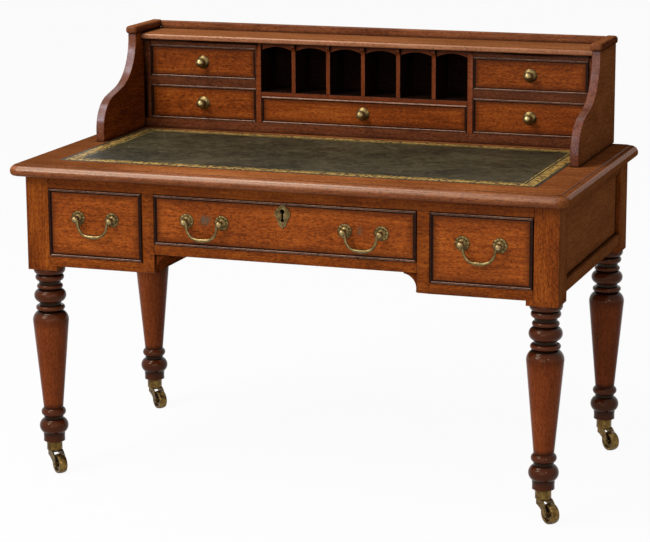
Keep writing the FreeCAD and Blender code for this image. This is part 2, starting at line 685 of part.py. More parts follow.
def make_kneehole():
    """The cheeks beside the kneehole and the curved brackets at its upper corners."""
    cheeks = []
    brackets = []
    for name, side in (("left", LEFT), ("right", RIGHT)):
        cheeks.append(board(
            f"cheek_{name}",
            mirrored(side, "places.upright_inner", "places.cheek_outer"),
            ("places.rail_back", "places.board_front"),
            ("places.rail_under", "places.top_under"),
        ))
        body = make_body(f"bracket_{name}", y="places.face + dims.bracket_setback")
        sign = "" if side == RIGHT else "-"
        toe = f"{sign}(places.upright_inner - dims.bracket_width)"
        heel = f"{sign}(places.upright_inner)"
        lip = f"{sign}(places.upright_inner - dims.bracket_lip)"
        swell = f"{sign}(dims.bracket_hollow)"
        lift = "dims.bracket_setback - dims.rail_thickness"
        outline = make_sketch(body, f"bracket_{name}_outline", "XZ_Plane", lift)
        draw(outline, [
            (heel, "places.rail_under"),
            (heel, "places.centre_under"),
            (toe, "places.centre_under"),
            (toe, "places.centre_under - dims.bracket_lip"),
            (lip, "places.rail_under", f"-({swell})"),
        ])
        pad(body, f"bracket_{name}_board", outline, "dims.rail_thickness - dims.bracket_setback")
        brackets.append(body)
    keep_group("kneehole_cheeks", cheeks)
    keep_group("kneehole_brackets", brackets)


def make_ends_and_back():
    """A panel between two rails at each end, and a board across the back."""
    rails = []
    panels = []
    span = ("places.face + dims.post_size", "places.rear - dims.post_size")
    rail_out = "places.half_width - dims.end_setback"
    rail_in = f"{rail_out} - dims.end_rail_thickness"
    panel_out = f"{rail_out} - dims.panel_setback"
    panel_low = "places.end_under + dims.end_bottom_rail_height"
    panel_high = "places.top_under - dims.end_top_rail_height"
    for name, side in (("left", LEFT), ("right", RIGHT)):
        x = mirrored(side, rail_in, rail_out)
        rails.append(board(f"end_top_rail_{name}", x, span, (panel_high, "places.top_under")))
        rails.append(board(f"end_bottom_rail_{name}", x, span, ("places.end_under", panel_low)))
        panel_x = mirrored(side, f"{panel_out} - dims.panel_thickness", panel_out)
        body = make_body(f"end_panel_{name}", panel_x[0])
        outline = make_sketch(body, f"end_panel_{name}_outline", "YZ_Plane")
        draw_rectangle(outline, span, (panel_low, panel_high))
        pad(body, f"end_panel_{name}_board", outline, "dims.panel_thickness")
        shown = size("dims.panel_thickness") if side == RIGHT else 0
        ease_edges(body, f"end_panel_{name}_bevel", "Chamfer", "dims.panel_bevel",
                   lambda box: lies_at(box.XMin, box.XMax, shown))
        panels.append(body)
    keep_group("end_rails", rails)
    keep_group("end_panels", panels)
    back = board(
        "back_board",
        across("places.post_inner"),
        ("places.board_front", "places.board_rear"),
        ("places.end_under", "places.top_under"),
    )
    keep("back_board", back)


def make_runners():
    """Two runners under each frieze drawer, from the front rails to the back board."""
    runners = []
    span = ("places.rail_back", "places.board_front")
    side_z = ("places.side_sill - dims.runner_height", "places.side_sill")
    centre_z = ("places.centre_sill - dims.runner_height", "places.centre_sill")
    for name, side in (("left", LEFT), ("right", RIGHT)):
        outer = mirrored(side, "places.post_inner - dims.runner_width", "places.post_inner")
        inner = mirrored(side, "places.cheek_outer", "places.upright_outer + dims.runner_guide")
        centre = mirrored(side, "places.upright_inner - dims.runner_width", "places.upright_inner")
        runners.append(board(f"outer_runner_{name}", outer, span, side_z))
        runners.append(board(f"inner_runner_{name}", inner, span, side_z))
        runners.append(board(f"centre_runner_{name}", centre, span, centre_z))
    keep_group("drawer_runners", runners)


def make_top():
    """The desk top: a thumb-moulded edge round a raised field, with the leather let into the field."""
    body = make_body("desk_top_body", z="places.top_under")
    slab_height = "dims.top_thickness - dims.field_step"
    half_x = "places.top_out"
    inset = "dims.thumb_radius + dims.field_ledge"
    plan = make_sketch(body, "desk_top_plan", "XY_Plane")
    draw_rounded(plan, half_x, "places.top_back", "dims.thumb_radius + dims.corner_ease")
    pad(body, "desk_top_slab", plan, slab_height)
    slab = size(slab_height)
    ease_edges(body, "desk_top_thumb", "Fillet", "dims.thumb_radius",
               lambda box: lies_at(box.ZMin, box.ZMax, slab))
    ease_edges(body, "desk_top_under", "Fillet", "dims.under_radius",
               lambda box: lies_at(box.ZMin, box.ZMax, 0))
    field = make_sketch(body, "desk_top_field_plan", "XY_Plane", slab_height)
    draw_rounded(field, f"{half_x} - ({inset})", f"places.top_back - ({inset})", "dims.corner_ease")
    pad(body, "desk_top_field", field, "dims.field_step")
    recess = make_sketch(body, "leather_recess_plan", "XY_Plane", "dims.top_thickness")
    leather_x = across("places.leather_x")
    leather_y = ("places.leather_front", "places.leather_back")
    draw_rectangle(recess, leather_x, leather_y)
    pocket(body, "leather_recess", recess, "dims.leather_thickness")
    keep("desk_top", body)
    leather_z = ("dims.writing_height - dims.leather_thickness", "dims.writing_height")
    keep("leather_inset", board("leather_inset", leather_x, leather_y, leather_z))


def draw_rounded(sketch, half_x, half_y, radius):
    """A rectangle about the middle with rounded corners."""
    long_x = f"{half_x} - ({radius})"
    long_y = f"{half_y} - ({radius})"
    swell = f"({radius}) * (1 - cos(45))"
    return draw(sketch, [
        (f"-({long_x})", f"-({half_y})", swell),
        (long_x, f"-({half_y})"),
        (half_x, f"-({long_y})", swell),
        (half_x, long_y),
        (long_x, half_y, swell),
        (f"-({long_x})", half_y),
        (f"-({half_x})", long_y, swell),
        (f"-({half_x})", f"-({long_y})"),
    ])


def make_front(name, x, z, y, thickness, bead):
    """A drawer front with a rounded bead standing proud all round its face."""
    width, proud, radius = bead
    body = make_body(f"{name}_body", y=y)
    blank = make_sketch(body, f"{name}_blank_outline", "XZ_Plane", f"-({thickness})")
    draw_rectangle(blank, x, z)
    pad(body, f"{name}_blank", blank, f"{thickness} + {proud}")
    panel = make_sketch(body, f"{name}_panel_outline", "XZ_Plane", proud)
    inner_x = (f"{x[0]} + {width}", f"{x[1]} - {width}")
    inner_z = (f"{z[0]} + {width}", f"{z[1]} - {width}")
    draw_rectangle(panel, inner_x, inner_z)
    pocket(body, f"{name}_panel", panel, proud)
    face = -size(proud)
    ease_edges(body, f"{name}_bead", "Fillet", radius,
               lambda box: lies_at(box.YMin, box.YMax, face))
    return body


def make_box(name, x, z, front_back, parts):
    """The sides, back and bottom of a drawer, behind its front."""
    side, end, bottom, lift = parts
    inner = (f"{x[0]} + {side}", f"{x[1]} - {side}")
    floor = f"{z[0]} + {lift}"
    keep_group(name, [
        board(f"{name}_left_side", (x[0], inner[0]), (front_back, end), z),
        board(f"{name}_right_side", (inner[1], x[1]), (front_back, end), z),
        board(f"{name}_back", inner, (f"{end} - {side}", end), (floor, z[1])),
        board(f"{name}_bottom", inner, (front_back, f"{end} - {side}"), (floor, f"{floor} + {bottom}")),
    ])


def make_handle_plate(name, x, z):
    """A domed rosette and its ball-ended post, bored across for the pin of the bail."""
    body = make_body(name, x, "places.face", z)
    out = "-dims.bail_standoff"
    post = "dims.post_radius"
    ball = "dims.ball_radius"
    ball_back = f"{out} + sqrt({ball}^2 - {post}^2)"
    ball_front = f"{out} - {ball}"
    chord = f"sqrt({post}^2 + ({ball} + sqrt({ball}^2 - {post}^2))^2)"
    profile = make_sketch(body, f"{name}_profile", "XY_Plane")
    draw(profile, [
        ("0", "0"),
        ("0", ball_front),
        (post, ball_back, f"{ball} - sqrt({ball}^2 - ({chord})^2 / 4)"),
        (post, "-(dims.rose_edge + dims.rose_dome)"),
        ("dims.rose_radius", "-dims.rose_edge", "dims.rose_dome / 3"),
        ("dims.rose_radius", "0", "dims.rose_edge / 3"),
    ])
    turn(body, f"{name}_turning", profile)
    bore = make_sketch(body, f"{name}_bore_section", "YZ_Plane", ball)
    draw_circle(bore, out, "0", "dims.bail_wire + dims.pin_clearance")
    pocket(body, f"{name}_bore", bore, f"2 * {ball}")
    return body


def make_bail(name, x, z):
    """A swan-neck bail hanging between its two posts."""
    body = make_body(f"{name}_body", x, "places.face - dims.bail_standoff", z)
    end = "dims.handle_span / 2 + dims.bail_pin_end"
    curl_x = "(dims.handle_span / 2 - dims.bail_neck)"
    lean = "dims.bail_splay"
    neck_x = f"({curl_x} - dims.bail_curl * cos({lean}))"
    neck_z = f"(-dims.bail_curl * (1 + sin({lean})))"
    low_z = f"(dims.bail_corner * (1 + sin({lean})) - dims.bail_drop)"
    low_x = f"({neck_x} + ({neck_z} - {low_z}) * tan({lean}))"
    grip_x = f"({low_x} - dims.bail_corner * cos({lean}))"
    bend = f"(1 - cos(45 + {lean} / 2))"
    path = make_sketch(body, f"{name}_path", "XZ_Plane")
    draw(path, [
        (f"-({end})", "0"),
        (f"-{curl_x}", "0"),
        (f"-{neck_x}", neck_z, f"-dims.bail_curl * {bend}"),
        (f"-{low_x}", low_z),
        (f"-{grip_x}", "-dims.bail_drop", f"dims.bail_corner * {bend}"),
        (grip_x, "-dims.bail_drop"),
        (low_x, low_z, f"dims.bail_corner * {bend}"),
        (neck_x, neck_z),
        (curl_x, "0", f"-dims.bail_curl * {bend}"),
        (end, "0"),
    ], closed=False)
    section = make_sketch(body, f"{name}_section", "YZ_Plane", f"-({end})")
    draw_circle(section, "0", "0", "dims.bail_wire")
    wire = body.newObject("PartDesign::AdditivePipe", f"{name}_wire")
    wire.Profile = section
    wire.Spine = (path, [f"Edge{number}" for number in range(1, 10)])
    knop = make_sketch(body, f"{name}_knop_profile", "XZ_Plane")
    draw(knop, [
        ("-dims.knop_length / 2", "-dims.bail_drop"),
        ("dims.knop_length / 2", "-dims.bail_drop", "dims.knop_swell"),
    ])
    turn(body, f"{name}_knop", knop, "Edge1")
    keep(name, body)


def make_frieze_drawers():
    """Left, centre and right drawer with their handles."""
    bead = ("dims.bead_width", "dims.bead_proud", "dims.bead_round")
    parts = ("dims.side_thickness", "places.box_end", "dims.bottom_thickness", "dims.bottom_lift")
    gap = "dims.drawer_gap"
    left_opening = mirrored(LEFT, "places.upright_outer", "places.post_inner")
    right_opening = mirrored(RIGHT, "places.upright_outer", "places.post_inner")
    side_z = "places.side_middle + dims.handle_rise"
    centre_z = "places.centre_middle + dims.centre_handle_rise"
    for name, opening, sill, post_z, handles in (
        ("left", left_opening, "places.side_sill", side_z, (("", "-places.side_centre"),)),
        ("centre", across("places.upright_inner"), "places.centre_sill", centre_z,
         (("_left", "-places.handle_x"), ("_right", "places.handle_x"))),
        ("right", right_opening, "places.side_sill", side_z, (("", "places.side_centre"),)),
    ):
        x = (f"{opening[0]} + {gap}", f"{opening[1]} - {gap}")
        z = (f"{sill} + {gap}", f"places.opening_top - {gap}")
        front = make_front(f"drawer_{name}_front", x, z, "places.face", "dims.front_thickness", bead)
        if name == "centre":
            cut_for_lock(front)
        keep(f"drawer_{name}_front", front)
        box_z = (f"{sill} + dims.slide_gap", f"{z[1]} - dims.side_drop")
        make_box(f"drawer_{name}_box", x, box_z, "places.front_back", parts)
        plates = []
        for suffix, middle in handles:
            for end, sign in (("left", "-"), ("right", "+")):
                plate_x = f"{middle} {sign} dims.handle_span / 2"
                plates.append(make_handle_plate(f"handle_plate_{name}{suffix}_{end}", plate_x, post_z))
            make_bail(f"bail_{name}{suffix}", middle, post_z)
        keep_group(f"drawer_{name}_plates", plates)


def draw_keyhole(sketch, z):
    """A keyhole: a slot between two rounds, for a shield whose middle is at height z."""
    half_slot = "dims.keyhole_slot / 2"
    round_z = f"{z} + dims.keyhole_rise"
    waist = f"sqrt(dims.keyhole_radius^2 - ({half_slot})^2)"
    heel = f"sqrt(dims.keyhole_foot^2 - ({half_slot})^2)"
    waist_z = f"{round_z} - {waist}"
    heel_z = f"{round_z} - dims.keyhole_drop + {heel}"
    return draw(sketch, [
        (f"-{half_slot}", waist_z, f"dims.keyhole_radius + {waist}"),
        (f"-{half_slot}", heel_z),
        (half_slot, heel_z, f"dims.keyhole_foot + {heel}"),
        (half_slot, waist_z),
    ])


def cut_for_lock(front):
    """A rebate for the lock case in the back of a drawer front, and the keyhole through to it."""
    rebate = make_sketch(front, "lock_rebate_outline", "XZ_Plane", "-dims.front_thickness")
    lock_z = ("places.lock_top - dims.lock_height", "places.lock_top")
    draw_rectangle(rebate, across("dims.lock_width / 2"), lock_z)
    hollow = pocket(front, "lock_rebate", rebate, "dims.lock_depth")
    hollow.Reversed = True
    keyhole = make_sketch(front, "front_keyhole_outline", "XZ_Plane")
    draw_keyhole(keyhole, "places.shield_z")
    pocket(front, "front_keyhole", keyhole, "dims.front_thickness - dims.lock_depth")


def make_escutcheon():
    """A scalloped shield with an arched crown, tapering to a drop, round the keyhole."""
    body = make_body("keyhole_escutcheon_body", y="places.face", z="places.shield_z")
    half = "dims.escutcheon_width / 2"
    tall = "dims.escutcheon_height / 2"
    # Right edge from the drop to the crown: shares of the half width, of the half height, and of the swell.
    scallops = (
        (0, -1, 0),
        (0.3, -0.76, -0.06),
        (0.52, -0.42, 0.09),
        (0.72, -0.06, 0.09),
        (1, 0.24, 0.1),
        (0.84, 0.5, 0.1),
        (0.52, 0.74, 0.1),
        (0, 1, 0.14),
    )
    points = [(f"{half} * {x}", f"{tall} * {z}", f"{half} * {swell}") for x, z, swell in scallops[1:]]
    for (x, z, _), (_, _, swell) in zip(scallops[-2::-1], scallops[:0:-1]):
        points.append((f"-{half} * {x}", f"{tall} * {z}", f"{half} * {swell}"))
    outline = make_sketch(body, "escutcheon_outline", "XZ_Plane")
    draw(outline, points)
    pad(body, "escutcheon_plate", outline, "dims.escutcheon_thickness")
    keyhole = make_sketch(body, "escutcheon_keyhole_outline", "XZ_Plane", "dims.escutcheon_thickness")
    draw_keyhole(keyhole, "0")
    pocket(body, "escutcheon_keyhole", keyhole, "dims.escutcheon_thickness")
    keep("keyhole_escutcheon", body)


def make_lock():
    """The lock case behind the centre drawer front, and the bolt that rises from it."""
    gap = "dims.bolt_gap"
    half_x = "dims.bolt_width / 2"
    half_y = "dims.bolt_thickness / 2"
    bolt_under = "places.bolt_top - dims.bolt_height"
    bolt_y = (f"places.bolt_y - {half_y}", f"places.bolt_y + {half_y}")
    case = board(
        "lock_case_blank",
        across("dims.lock_width / 2"),
        ("places.lock_front", "places.front_back"),
        ("places.lock_top - dims.lock_height", "places.lock_top"),
    )
    slot = board(
        "bolt_slot",
        across(f"{half_x} + {gap}"),
        (f"{bolt_y[0]} - {gap}", f"{bolt_y[1]} + {gap}"),
        (f"{bolt_under} - {gap}", "places.lock_top"),
    )
    keep("lock_case", cut("lock_case", case, slot))
    keep("lock_bolt", board("lock_bolt", across(half_x), bolt_y, (bolt_under, "places.bolt_top")))


def make_gallery_ends():
    """The two S-curved gallery sides and the moulded caps on their heads."""
    sides = []
    caps = []
    run = "places.gallery_foot"
    head = "places.gallery_head"
    low_z = "(dims.writing_height + dims.ogee_foot)"
    high_z = "(places.crest - dims.ogee_head)"
    bend = "(1 - cos(dims.ogee_angle / 2))"
    for name, side in (("left", LEFT), ("right", RIGHT)):
        board_x = mirrored(side, "places.gallery_in", "places.gallery_out")
        body = make_body(f"gallery_side_{name}", board_x[0])
        outline = make_sketch(body, f"gallery_side_{name}_outline", "YZ_Plane")
        draw(outline, [
            (run, "dims.writing_height"),
            ("places.gallery_rear", "dims.writing_height"),
            ("places.gallery_rear", "places.crest"),
            (head, "places.crest"),
            (head, high_z),
            (f"{head} - places.ogee_high * (1 - places.ogee_cosine)",
             f"{high_z} - places.ogee_high * places.ogee_sine",
             f"-places.ogee_high * {bend}"),
            (f"{run} + places.ogee_low * (1 - places.ogee_cosine)",
             f"{low_z} + places.ogee_low * places.ogee_sine"),
            (run, low_z, f"places.ogee_low * {bend}"),
        ])
        pad(body, f"gallery_side_{name}_board", outline, "dims.gallery_side")
        sides.append(body)
        over = "dims.cap_overhang"
        cap_x = mirrored(side, f"places.gallery_in - {over}", f"places.gallery_out + {over}")
        cap = make_body(f"gallery_cap_{name}", z="places.crest")
        plan = make_sketch(cap, f"gallery_cap_{name}_plan", "XY_Plane")
        draw_rectangle(plan, cap_x, (f"{head} - dims.cap_nose", f"places.gallery_rear + {over}"))
        pad(cap, f"gallery_cap_{name}_block", plan, "dims.cap_height")
        ease_edges(cap, f"gallery_cap_{name}_corners", "Fillet", "dims.cap_corner",
                   lambda box: max(box.XLength, box.YLength) < 0.001)
        top = size("dims.cap_height")
        ease_edges(cap, f"gallery_cap_{name}_upper", "Fillet", "dims.cap_round",
                   lambda box: lies_at(box.ZMin, box.ZMax, top))
        ease_edges(cap, f"gallery_cap_{name}_lower", "Fillet", "dims.cap_under",
                   lambda box: lies_at(box.ZMin, box.ZMax, 0))
        caps.append(cap)
    keep_group("gallery_sides", sides)
    return caps


def make_gallery_case():
    """The shelf, capping and back of the gallery, and the boards that frame its drawers."""
    caps = make_gallery_ends()
    shelf = make_body("gallery_shelf_body", z="places.shelf_under")
    plan = make_sketch(shelf, "gallery_shelf_plan", "XY_Plane")
    shelf_front = "places.case_rear - dims.shelf_depth"
    draw_rectangle(plan, across("places.gallery_in"), (shelf_front, "places.case_rear"))
    pad(shelf, "gallery_shelf_board", plan, "dims.shelf_thickness")
    nose = size(shelf_front)
    middle = size("dims.shelf_thickness") / 2
    ease_edges(shelf, "gallery_shelf_nose", "Fillet", "dims.shelf_nose",
               lambda box: lies_at(box.YMin, box.YMax, nose) and abs(box.Center.z - middle) > 0.001)
    keep("gallery_shelf", shelf)

    rail = make_body("crest_rail", z="places.shelf_top")
    plan = make_sketch(rail, "crest_rail_plan", "XY_Plane")
    rail_front = "places.gallery_rear - dims.crest_rail_thickness"
    draw_rectangle(plan, across("places.gallery_in - dims.cap_overhang"), (rail_front, "places.gallery_rear"))
    pad(rail, "crest_rail_board", plan, "dims.crest_rail_height")
    top = size("dims.crest_rail_height")
    ease_edges(rail, "crest_rail_round", "Fillet", "dims.crest_rail_round",
               lambda box: lies_at(box.ZMin, box.ZMax, top) and box.XLength > 1)
    keep_group("gallery_capping", caps + [rail])

    back_y = ("places.case_rear", "places.gallery_rear")
    back_z = ("dims.writing_height", "places.shelf_top")
    keep("gallery_back", board("gallery_back", across("places.gallery_in"), back_y, back_z))

    depth = ("places.case_front", "places.case_rear")
    base_z = ("dims.writing_height", "places.case_sill")
    full_z = ("places.case_sill", "places.shelf_under")
    pieces = [board("case_base", across("places.gallery_in"), depth, base_z)]
    shelf_z = ("places.middle_head", "places.pigeon_sill")
    pieces.append(board("pigeon_shelf", across("places.partition_in"), depth, shelf_z))
    divider_z = ("places.divider_under", "places.divider_top")
    rail_y = ("places.case_front", "places.case_front + dims.small_rail_depth")
    rail_z = ("places.small_head", "places.shelf_under")
    for name, side in (("left", LEFT), ("right", RIGHT)):
        lining = mirrored(side, "places.case_in", "places.gallery_in")
        partition = mirrored(side, "places.partition_in", "places.partition_out")
        opening = mirrored(side, "places.partition_out", "places.case_in")
        pieces.append(board(f"case_lining_{name}", lining, depth, full_z))
        pieces.append(board(f"case_partition_{name}", partition, depth, full_z))
        pieces.append(board(f"case_divider_{name}", opening, depth, divider_z))
        pieces.append(board(f"case_rail_{name}", opening, rail_y, rail_z))
    keep_group("gallery_frame", pieces)


def make_pigeonholes():
    """Dividers with corbels at their heads, and an arched valance across each pigeonhole."""
    dividers = []
    valances = []
    count = int(size("dims.pigeon_count"))
    front = "places.case_front + dims.pigeon_setback"
    for number in range(1, count):
        left = f"{number} * places.pigeon_pitch - places.partition_in - dims.pigeon_divider"
        body = make_body(f"pigeon_divider_{number}", left)
        outline = make_sketch(body, f"pigeon_divider_{number}_outline", "YZ_Plane")
        draw(outline, [
            (front, "places.pigeon_sill"),
            ("places.case_rear", "places.pigeon_sill"),
            ("places.case_rear", "places.shelf_under"),
            (f"{front} - dims.corbel_proud", "places.shelf_under"),
            (f"{front} - dims.corbel_proud", "places.shelf_under - dims.corbel_height * 0.4"),
            (front, "places.shelf_under - dims.corbel_height", "-dims.corbel_proud * 0.3"),
        ])
        pad(body, f"pigeon_divider_{number}_board", outline, "dims.pigeon_divider")
        dividers.append(body)
    for number in range(count):
        left = f"{number} * places.pigeon_pitch - places.partition_in"
        right = f"{left} + places.pigeon_pitch - dims.pigeon_divider"
        name = f"pigeon_valance_{number + 1}"
        body = make_body(name, y="places.case_front + dims.valance_setback")
        low = "places.shelf_under - dims.valance_height"
        outline = make_sketch(body, f"{name}_outline", "XZ_Plane", "-dims.valance_thickness")
        draw(outline, [
            (left, low),
            (right, low, "-dims.valance_rise"),
            (right, "places.shelf_under"),
            (left, "places.shelf_under"),
        ])
        pad(body, f"{name}_board", outline, "dims.valance_thickness")
        valances.append(body)
    keep_group("pigeonhole_dividers", dividers)
    keep_group("pigeonhole_arches", valances)


def make_knob(name, x, z):
    """A ball knob on a domed rose."""
    body = make_body(f"{name}_body", x, "places.small_face", z)
    out = "-dims.knob_standoff"
    neck = "dims.knob_neck_radius"
    ball = "dims.knob_ball_radius"
    waist = f"sqrt({ball}^2 - {neck}^2)"
    chord = f"sqrt({neck}^2 + ({ball} + {waist})^2)"
    profile = make_sketch(body, f"{name}_profile", "XY_Plane")
    draw(profile, [
        ("0", "0"),
        ("0", f"{out} - {ball}"),
        (neck, f"{out} + {waist}", f"{ball} - sqrt({ball}^2 - ({chord})^2 / 4)"),
        (neck, "-(dims.knob_rose_edge + dims.knob_rose_dome)"),
        ("dims.knob_rose_radius", "-dims.knob_rose_edge", "dims.knob_rose_dome / 3"),
        ("dims.knob_rose_radius", "0", "dims.knob_rose_edge / 3"),
    ])
    turn(body, f"{name}_turning", profile)
    keep(name, body)


def make_gallery_drawers():
    """Two drawers on each side of the gallery and one under the pigeonholes."""
    bead = ("dims.small_bead_width", "dims.small_bead_proud", "dims.small_bead_round")
    parts = ("dims.small_side", "places.small_box_end", "dims.small_bottom", "dims.small_bottom_lift")
    gap = "dims.small_gap"
    left = mirrored(LEFT, "places.partition_out", "places.case_in")
    right = mirrored(RIGHT, "places.partition_out", "places.case_in")
    lower = ("places.case_sill", "places.divider_under")
    upper = ("places.divider_top", "places.small_head")
    middle = ("places.case_sill", "places.middle_head")
    for name, opening, (sill, top) in (
        ("upper_left", left, upper),
        ("lower_left", left, lower),
        ("middle", across("places.partition_in"), middle),
        ("upper_right", right, upper),
        ("lower_right", right, lower),
    ):
        label = f"gallery_drawer_{name}"
        x = (f"{opening[0]} + {gap}", f"{opening[1]} - {gap}")
        z = (f"{sill} + {gap}", f"{top} - {gap}")
        front = make_front(f"{label}_front", x, z, "places.small_face", "dims.small_front", bead)
        keep(f"{label}_front", front)
        box_z = (f"{sill} + dims.slide_gap", f"{z[1]} - dims.small_side_drop")
        make_box(f"{label}_box", x, box_z, "places.small_face + dims.small_front", parts)
        make_knob(f"{label}_knob", f"({opening[0]} + {opening[1]}) / 2", f"({sill} + {top}) / 2")


make_legs_and_casters()
make_front_frame()
make_kneehole()
make_ends_and_back()
make_runners()
make_top()
make_frieze_drawers()
make_escutcheon()
make_lock()
make_gallery_case()
make_pigeonholes()
make_gallery_drawers()
doc.recompute()

for item in doc.Objects:
    if "Invalid" in item.State or "Error" in item.State:
        raise RuntimeError(f"{item.Label} did not rebuild")
os.makedirs("parts", exist_ok=True)
for label, piece in nodes.items():
    if piece.Shape.isNull() or not piece.Shape.isValid():
        raise RuntimeError(f"{label} has no sound shape")
    piece.Shape.exportStep(f"parts/{label}.step")
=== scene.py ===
import json
import math
import random

import bmesh
import bpy
import numpy as np
from mathutils import Matrix, Vector

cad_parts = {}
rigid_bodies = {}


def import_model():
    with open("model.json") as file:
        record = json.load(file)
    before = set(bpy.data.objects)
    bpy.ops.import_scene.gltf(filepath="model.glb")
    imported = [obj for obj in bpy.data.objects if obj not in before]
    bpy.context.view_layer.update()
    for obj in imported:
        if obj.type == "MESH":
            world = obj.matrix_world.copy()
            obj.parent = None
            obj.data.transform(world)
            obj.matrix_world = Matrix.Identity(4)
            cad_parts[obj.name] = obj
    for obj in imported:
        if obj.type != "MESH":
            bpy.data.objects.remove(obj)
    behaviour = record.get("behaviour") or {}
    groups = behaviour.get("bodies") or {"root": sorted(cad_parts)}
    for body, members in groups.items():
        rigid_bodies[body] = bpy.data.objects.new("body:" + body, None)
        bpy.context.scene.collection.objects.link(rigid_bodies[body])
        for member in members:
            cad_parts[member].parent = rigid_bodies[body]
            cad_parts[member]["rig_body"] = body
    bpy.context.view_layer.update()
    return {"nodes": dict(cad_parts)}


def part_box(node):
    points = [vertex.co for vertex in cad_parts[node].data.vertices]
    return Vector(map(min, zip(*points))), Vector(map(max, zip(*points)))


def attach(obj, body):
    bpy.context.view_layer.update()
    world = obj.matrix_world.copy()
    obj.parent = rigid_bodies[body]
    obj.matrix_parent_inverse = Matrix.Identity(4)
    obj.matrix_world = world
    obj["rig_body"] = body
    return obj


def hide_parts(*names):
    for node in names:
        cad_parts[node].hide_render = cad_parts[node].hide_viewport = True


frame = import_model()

# Looks for the captains desk: polished mahogany, tooled leather and aged brass, in metres.

MM = 0.001
CORNERS = ("front_left", "front_right", "back_left", "back_right")
SMALL_DRAWERS = ("upper_left", "lower_left", "middle", "upper_right", "lower_right")
nodes = frame["nodes"]
scene = bpy.context.scene


# Shader nodes

# Places of the Mix node's sockets, because their names repeat
MIX_FACTOR = 0
MIX_NUMBER_A, MIX_NUMBER_B, MIX_NUMBER_OUT = 2, 3, 0
MIX_COLOUR_A, MIX_COLOUR_B, MIX_COLOUR_OUT = 6, 7, 2

# Share of open sky at which a point counts as in the open, and as deep in a corner
OPEN_SKY, CLOSED_SKY = 0.86, 0.36


def new_tree(name):
    """An empty node tree of a new material, with its output."""
    material = bpy.data.materials.new(name)
    material.use_nodes = True
    tree = material.node_tree
    tree.nodes.clear()
    output = tree.nodes.new("ShaderNodeOutputMaterial")
    return material, tree, output


def put(tree, socket, value):
    """Set an input to a constant, or link it to another node's output."""
    if isinstance(value, bpy.types.NodeSocket):
        tree.links.new(value, socket)
    else:
        socket.default_value = value


def add(tree, kind, values=None, **settings):
    """A node with its settings and its input values."""
    node = tree.nodes.new("ShaderNode" + kind)
    for key, value in settings.items():
        setattr(node, key, value)
    for key, value in (values or {}).items():
        put(tree, node.inputs[key], value)
    return node


def maths(tree, operation, first, second=0.0, third=0.0):
    """One sum on up to three numbers."""
    return add(tree, "Math", {0: first, 1: second, 2: third}, operation=operation).outputs[0]


def product(tree, first, second):
    """Two numbers multiplied."""
    return maths(tree, "MULTIPLY", first, second)


def added(tree, *parts):
    """Several numbers added up, each with its own weight."""
    total = 0.0
    for value, weight in parts:
        total = maths(tree, "MULTIPLY_ADD", value, weight, total)
    return total


def largest(tree, first, *others):
    """The largest of several numbers."""
    for other in others:
        first = maths(tree, "MAXIMUM", first, other)
    return first


def varied(tree, value, middle, spread):
    """A number that spreads about its middle as the value goes from 0 to 1."""
    return maths(tree, "MULTIPLY_ADD", value, spread, middle - spread / 2)


def span(tree, value, zero_at, one_at):
    """A number that goes from 0 at one value to 1 at another, and no further."""
    limits = {"Value": value, "From Min": zero_at, "From Max": one_at}
    return add(tree, "MapRange", limits).outputs[0]


def vectors(tree, operation, first, second=(0.0, 0.0, 0.0)):
    """One sum on two vectors."""
    return add(tree, "VectorMath", {0: first, 1: second}, operation=operation).outputs[0]


def split(tree, vector):
    """The three numbers of a vector."""
    return add(tree, "SeparateXYZ", {0: vector}).outputs


def attribute(tree, name):
    """A vector kept on the mesh."""
    return add(tree, "Attribute", attribute_name=name).outputs["Vector"]


def position(tree):
    """A point's place in the scene, for pieces that stay still."""
    return add(tree, "NewGeometry").outputs["Position"]


def noise(tree, vector, repeats, detail=2.0, rough=0.5, distortion=0.0):
    """Noise from 0 to 1 about 0.5, with its own repeats per metre along each axis."""
    values = {
        "Vector": vectors(tree, "MULTIPLY", vector, repeats),
        "Scale": 1.0,
        "Detail": detail,
        "Roughness": rough,
        "Distortion": distortion,
    }
    return add(tree, "TexNoise", values).outputs[0]


def ramp(tree, factor, places, colours):
    """A colour ramp with a colour at each place."""
    node = add(tree, "ValToRGB", {"Fac": factor})
    elements = node.color_ramp.elements
    while len(elements) < len(places):
        elements.new(0.5)
    for element, place, colour in zip(elements, places, colours):
        element.position = place
        element.color = (*colour, 1.0)
    return node.outputs[0]


def opaque(colour):
    """A plain colour with its alpha, or a socket as it is."""
    return (*colour, 1.0) if isinstance(colour, tuple) else colour


def mixed(tree, factor, first, second):
    """Two colours mixed."""
    values = {MIX_FACTOR: factor, MIX_COLOUR_A: opaque(first), MIX_COLOUR_B: opaque(second)}
    return add(tree, "Mix", values, data_type="RGBA").outputs[MIX_COLOUR_OUT]


def tinted(tree, colour, mask, share, tint):
    """A colour taken a share of the way to a tint where the mask is 1."""
    return mixed(tree, product(tree, mask, share), colour, tint)


def bumped(tree, height, strength, depth):
    """A normal from a height."""
    values = {"Strength": strength, "Distance": depth, "Height": height}
    return add(tree, "Bump", values).outputs[0]


def surface(tree, output, **values):
    """The material's shader."""
    inputs = {key.replace("_", " "): value for key, value in values.items()}
    shader = add(tree, "BsdfPrincipled", inputs)
    tree.links.new(shader.outputs[0], output.inputs[0])


def crevice(tree, reach):
    """How enclosed a point is by nearby surfaces: 0 in the open, 1 deep in a corner or groove."""
    sky = add(tree, "AmbientOcclusion", {"Distance": reach}, samples=8).outputs["AO"]
    return span(tree, sky, OPEN_SKY, CLOSED_SKY)


# Mahogany

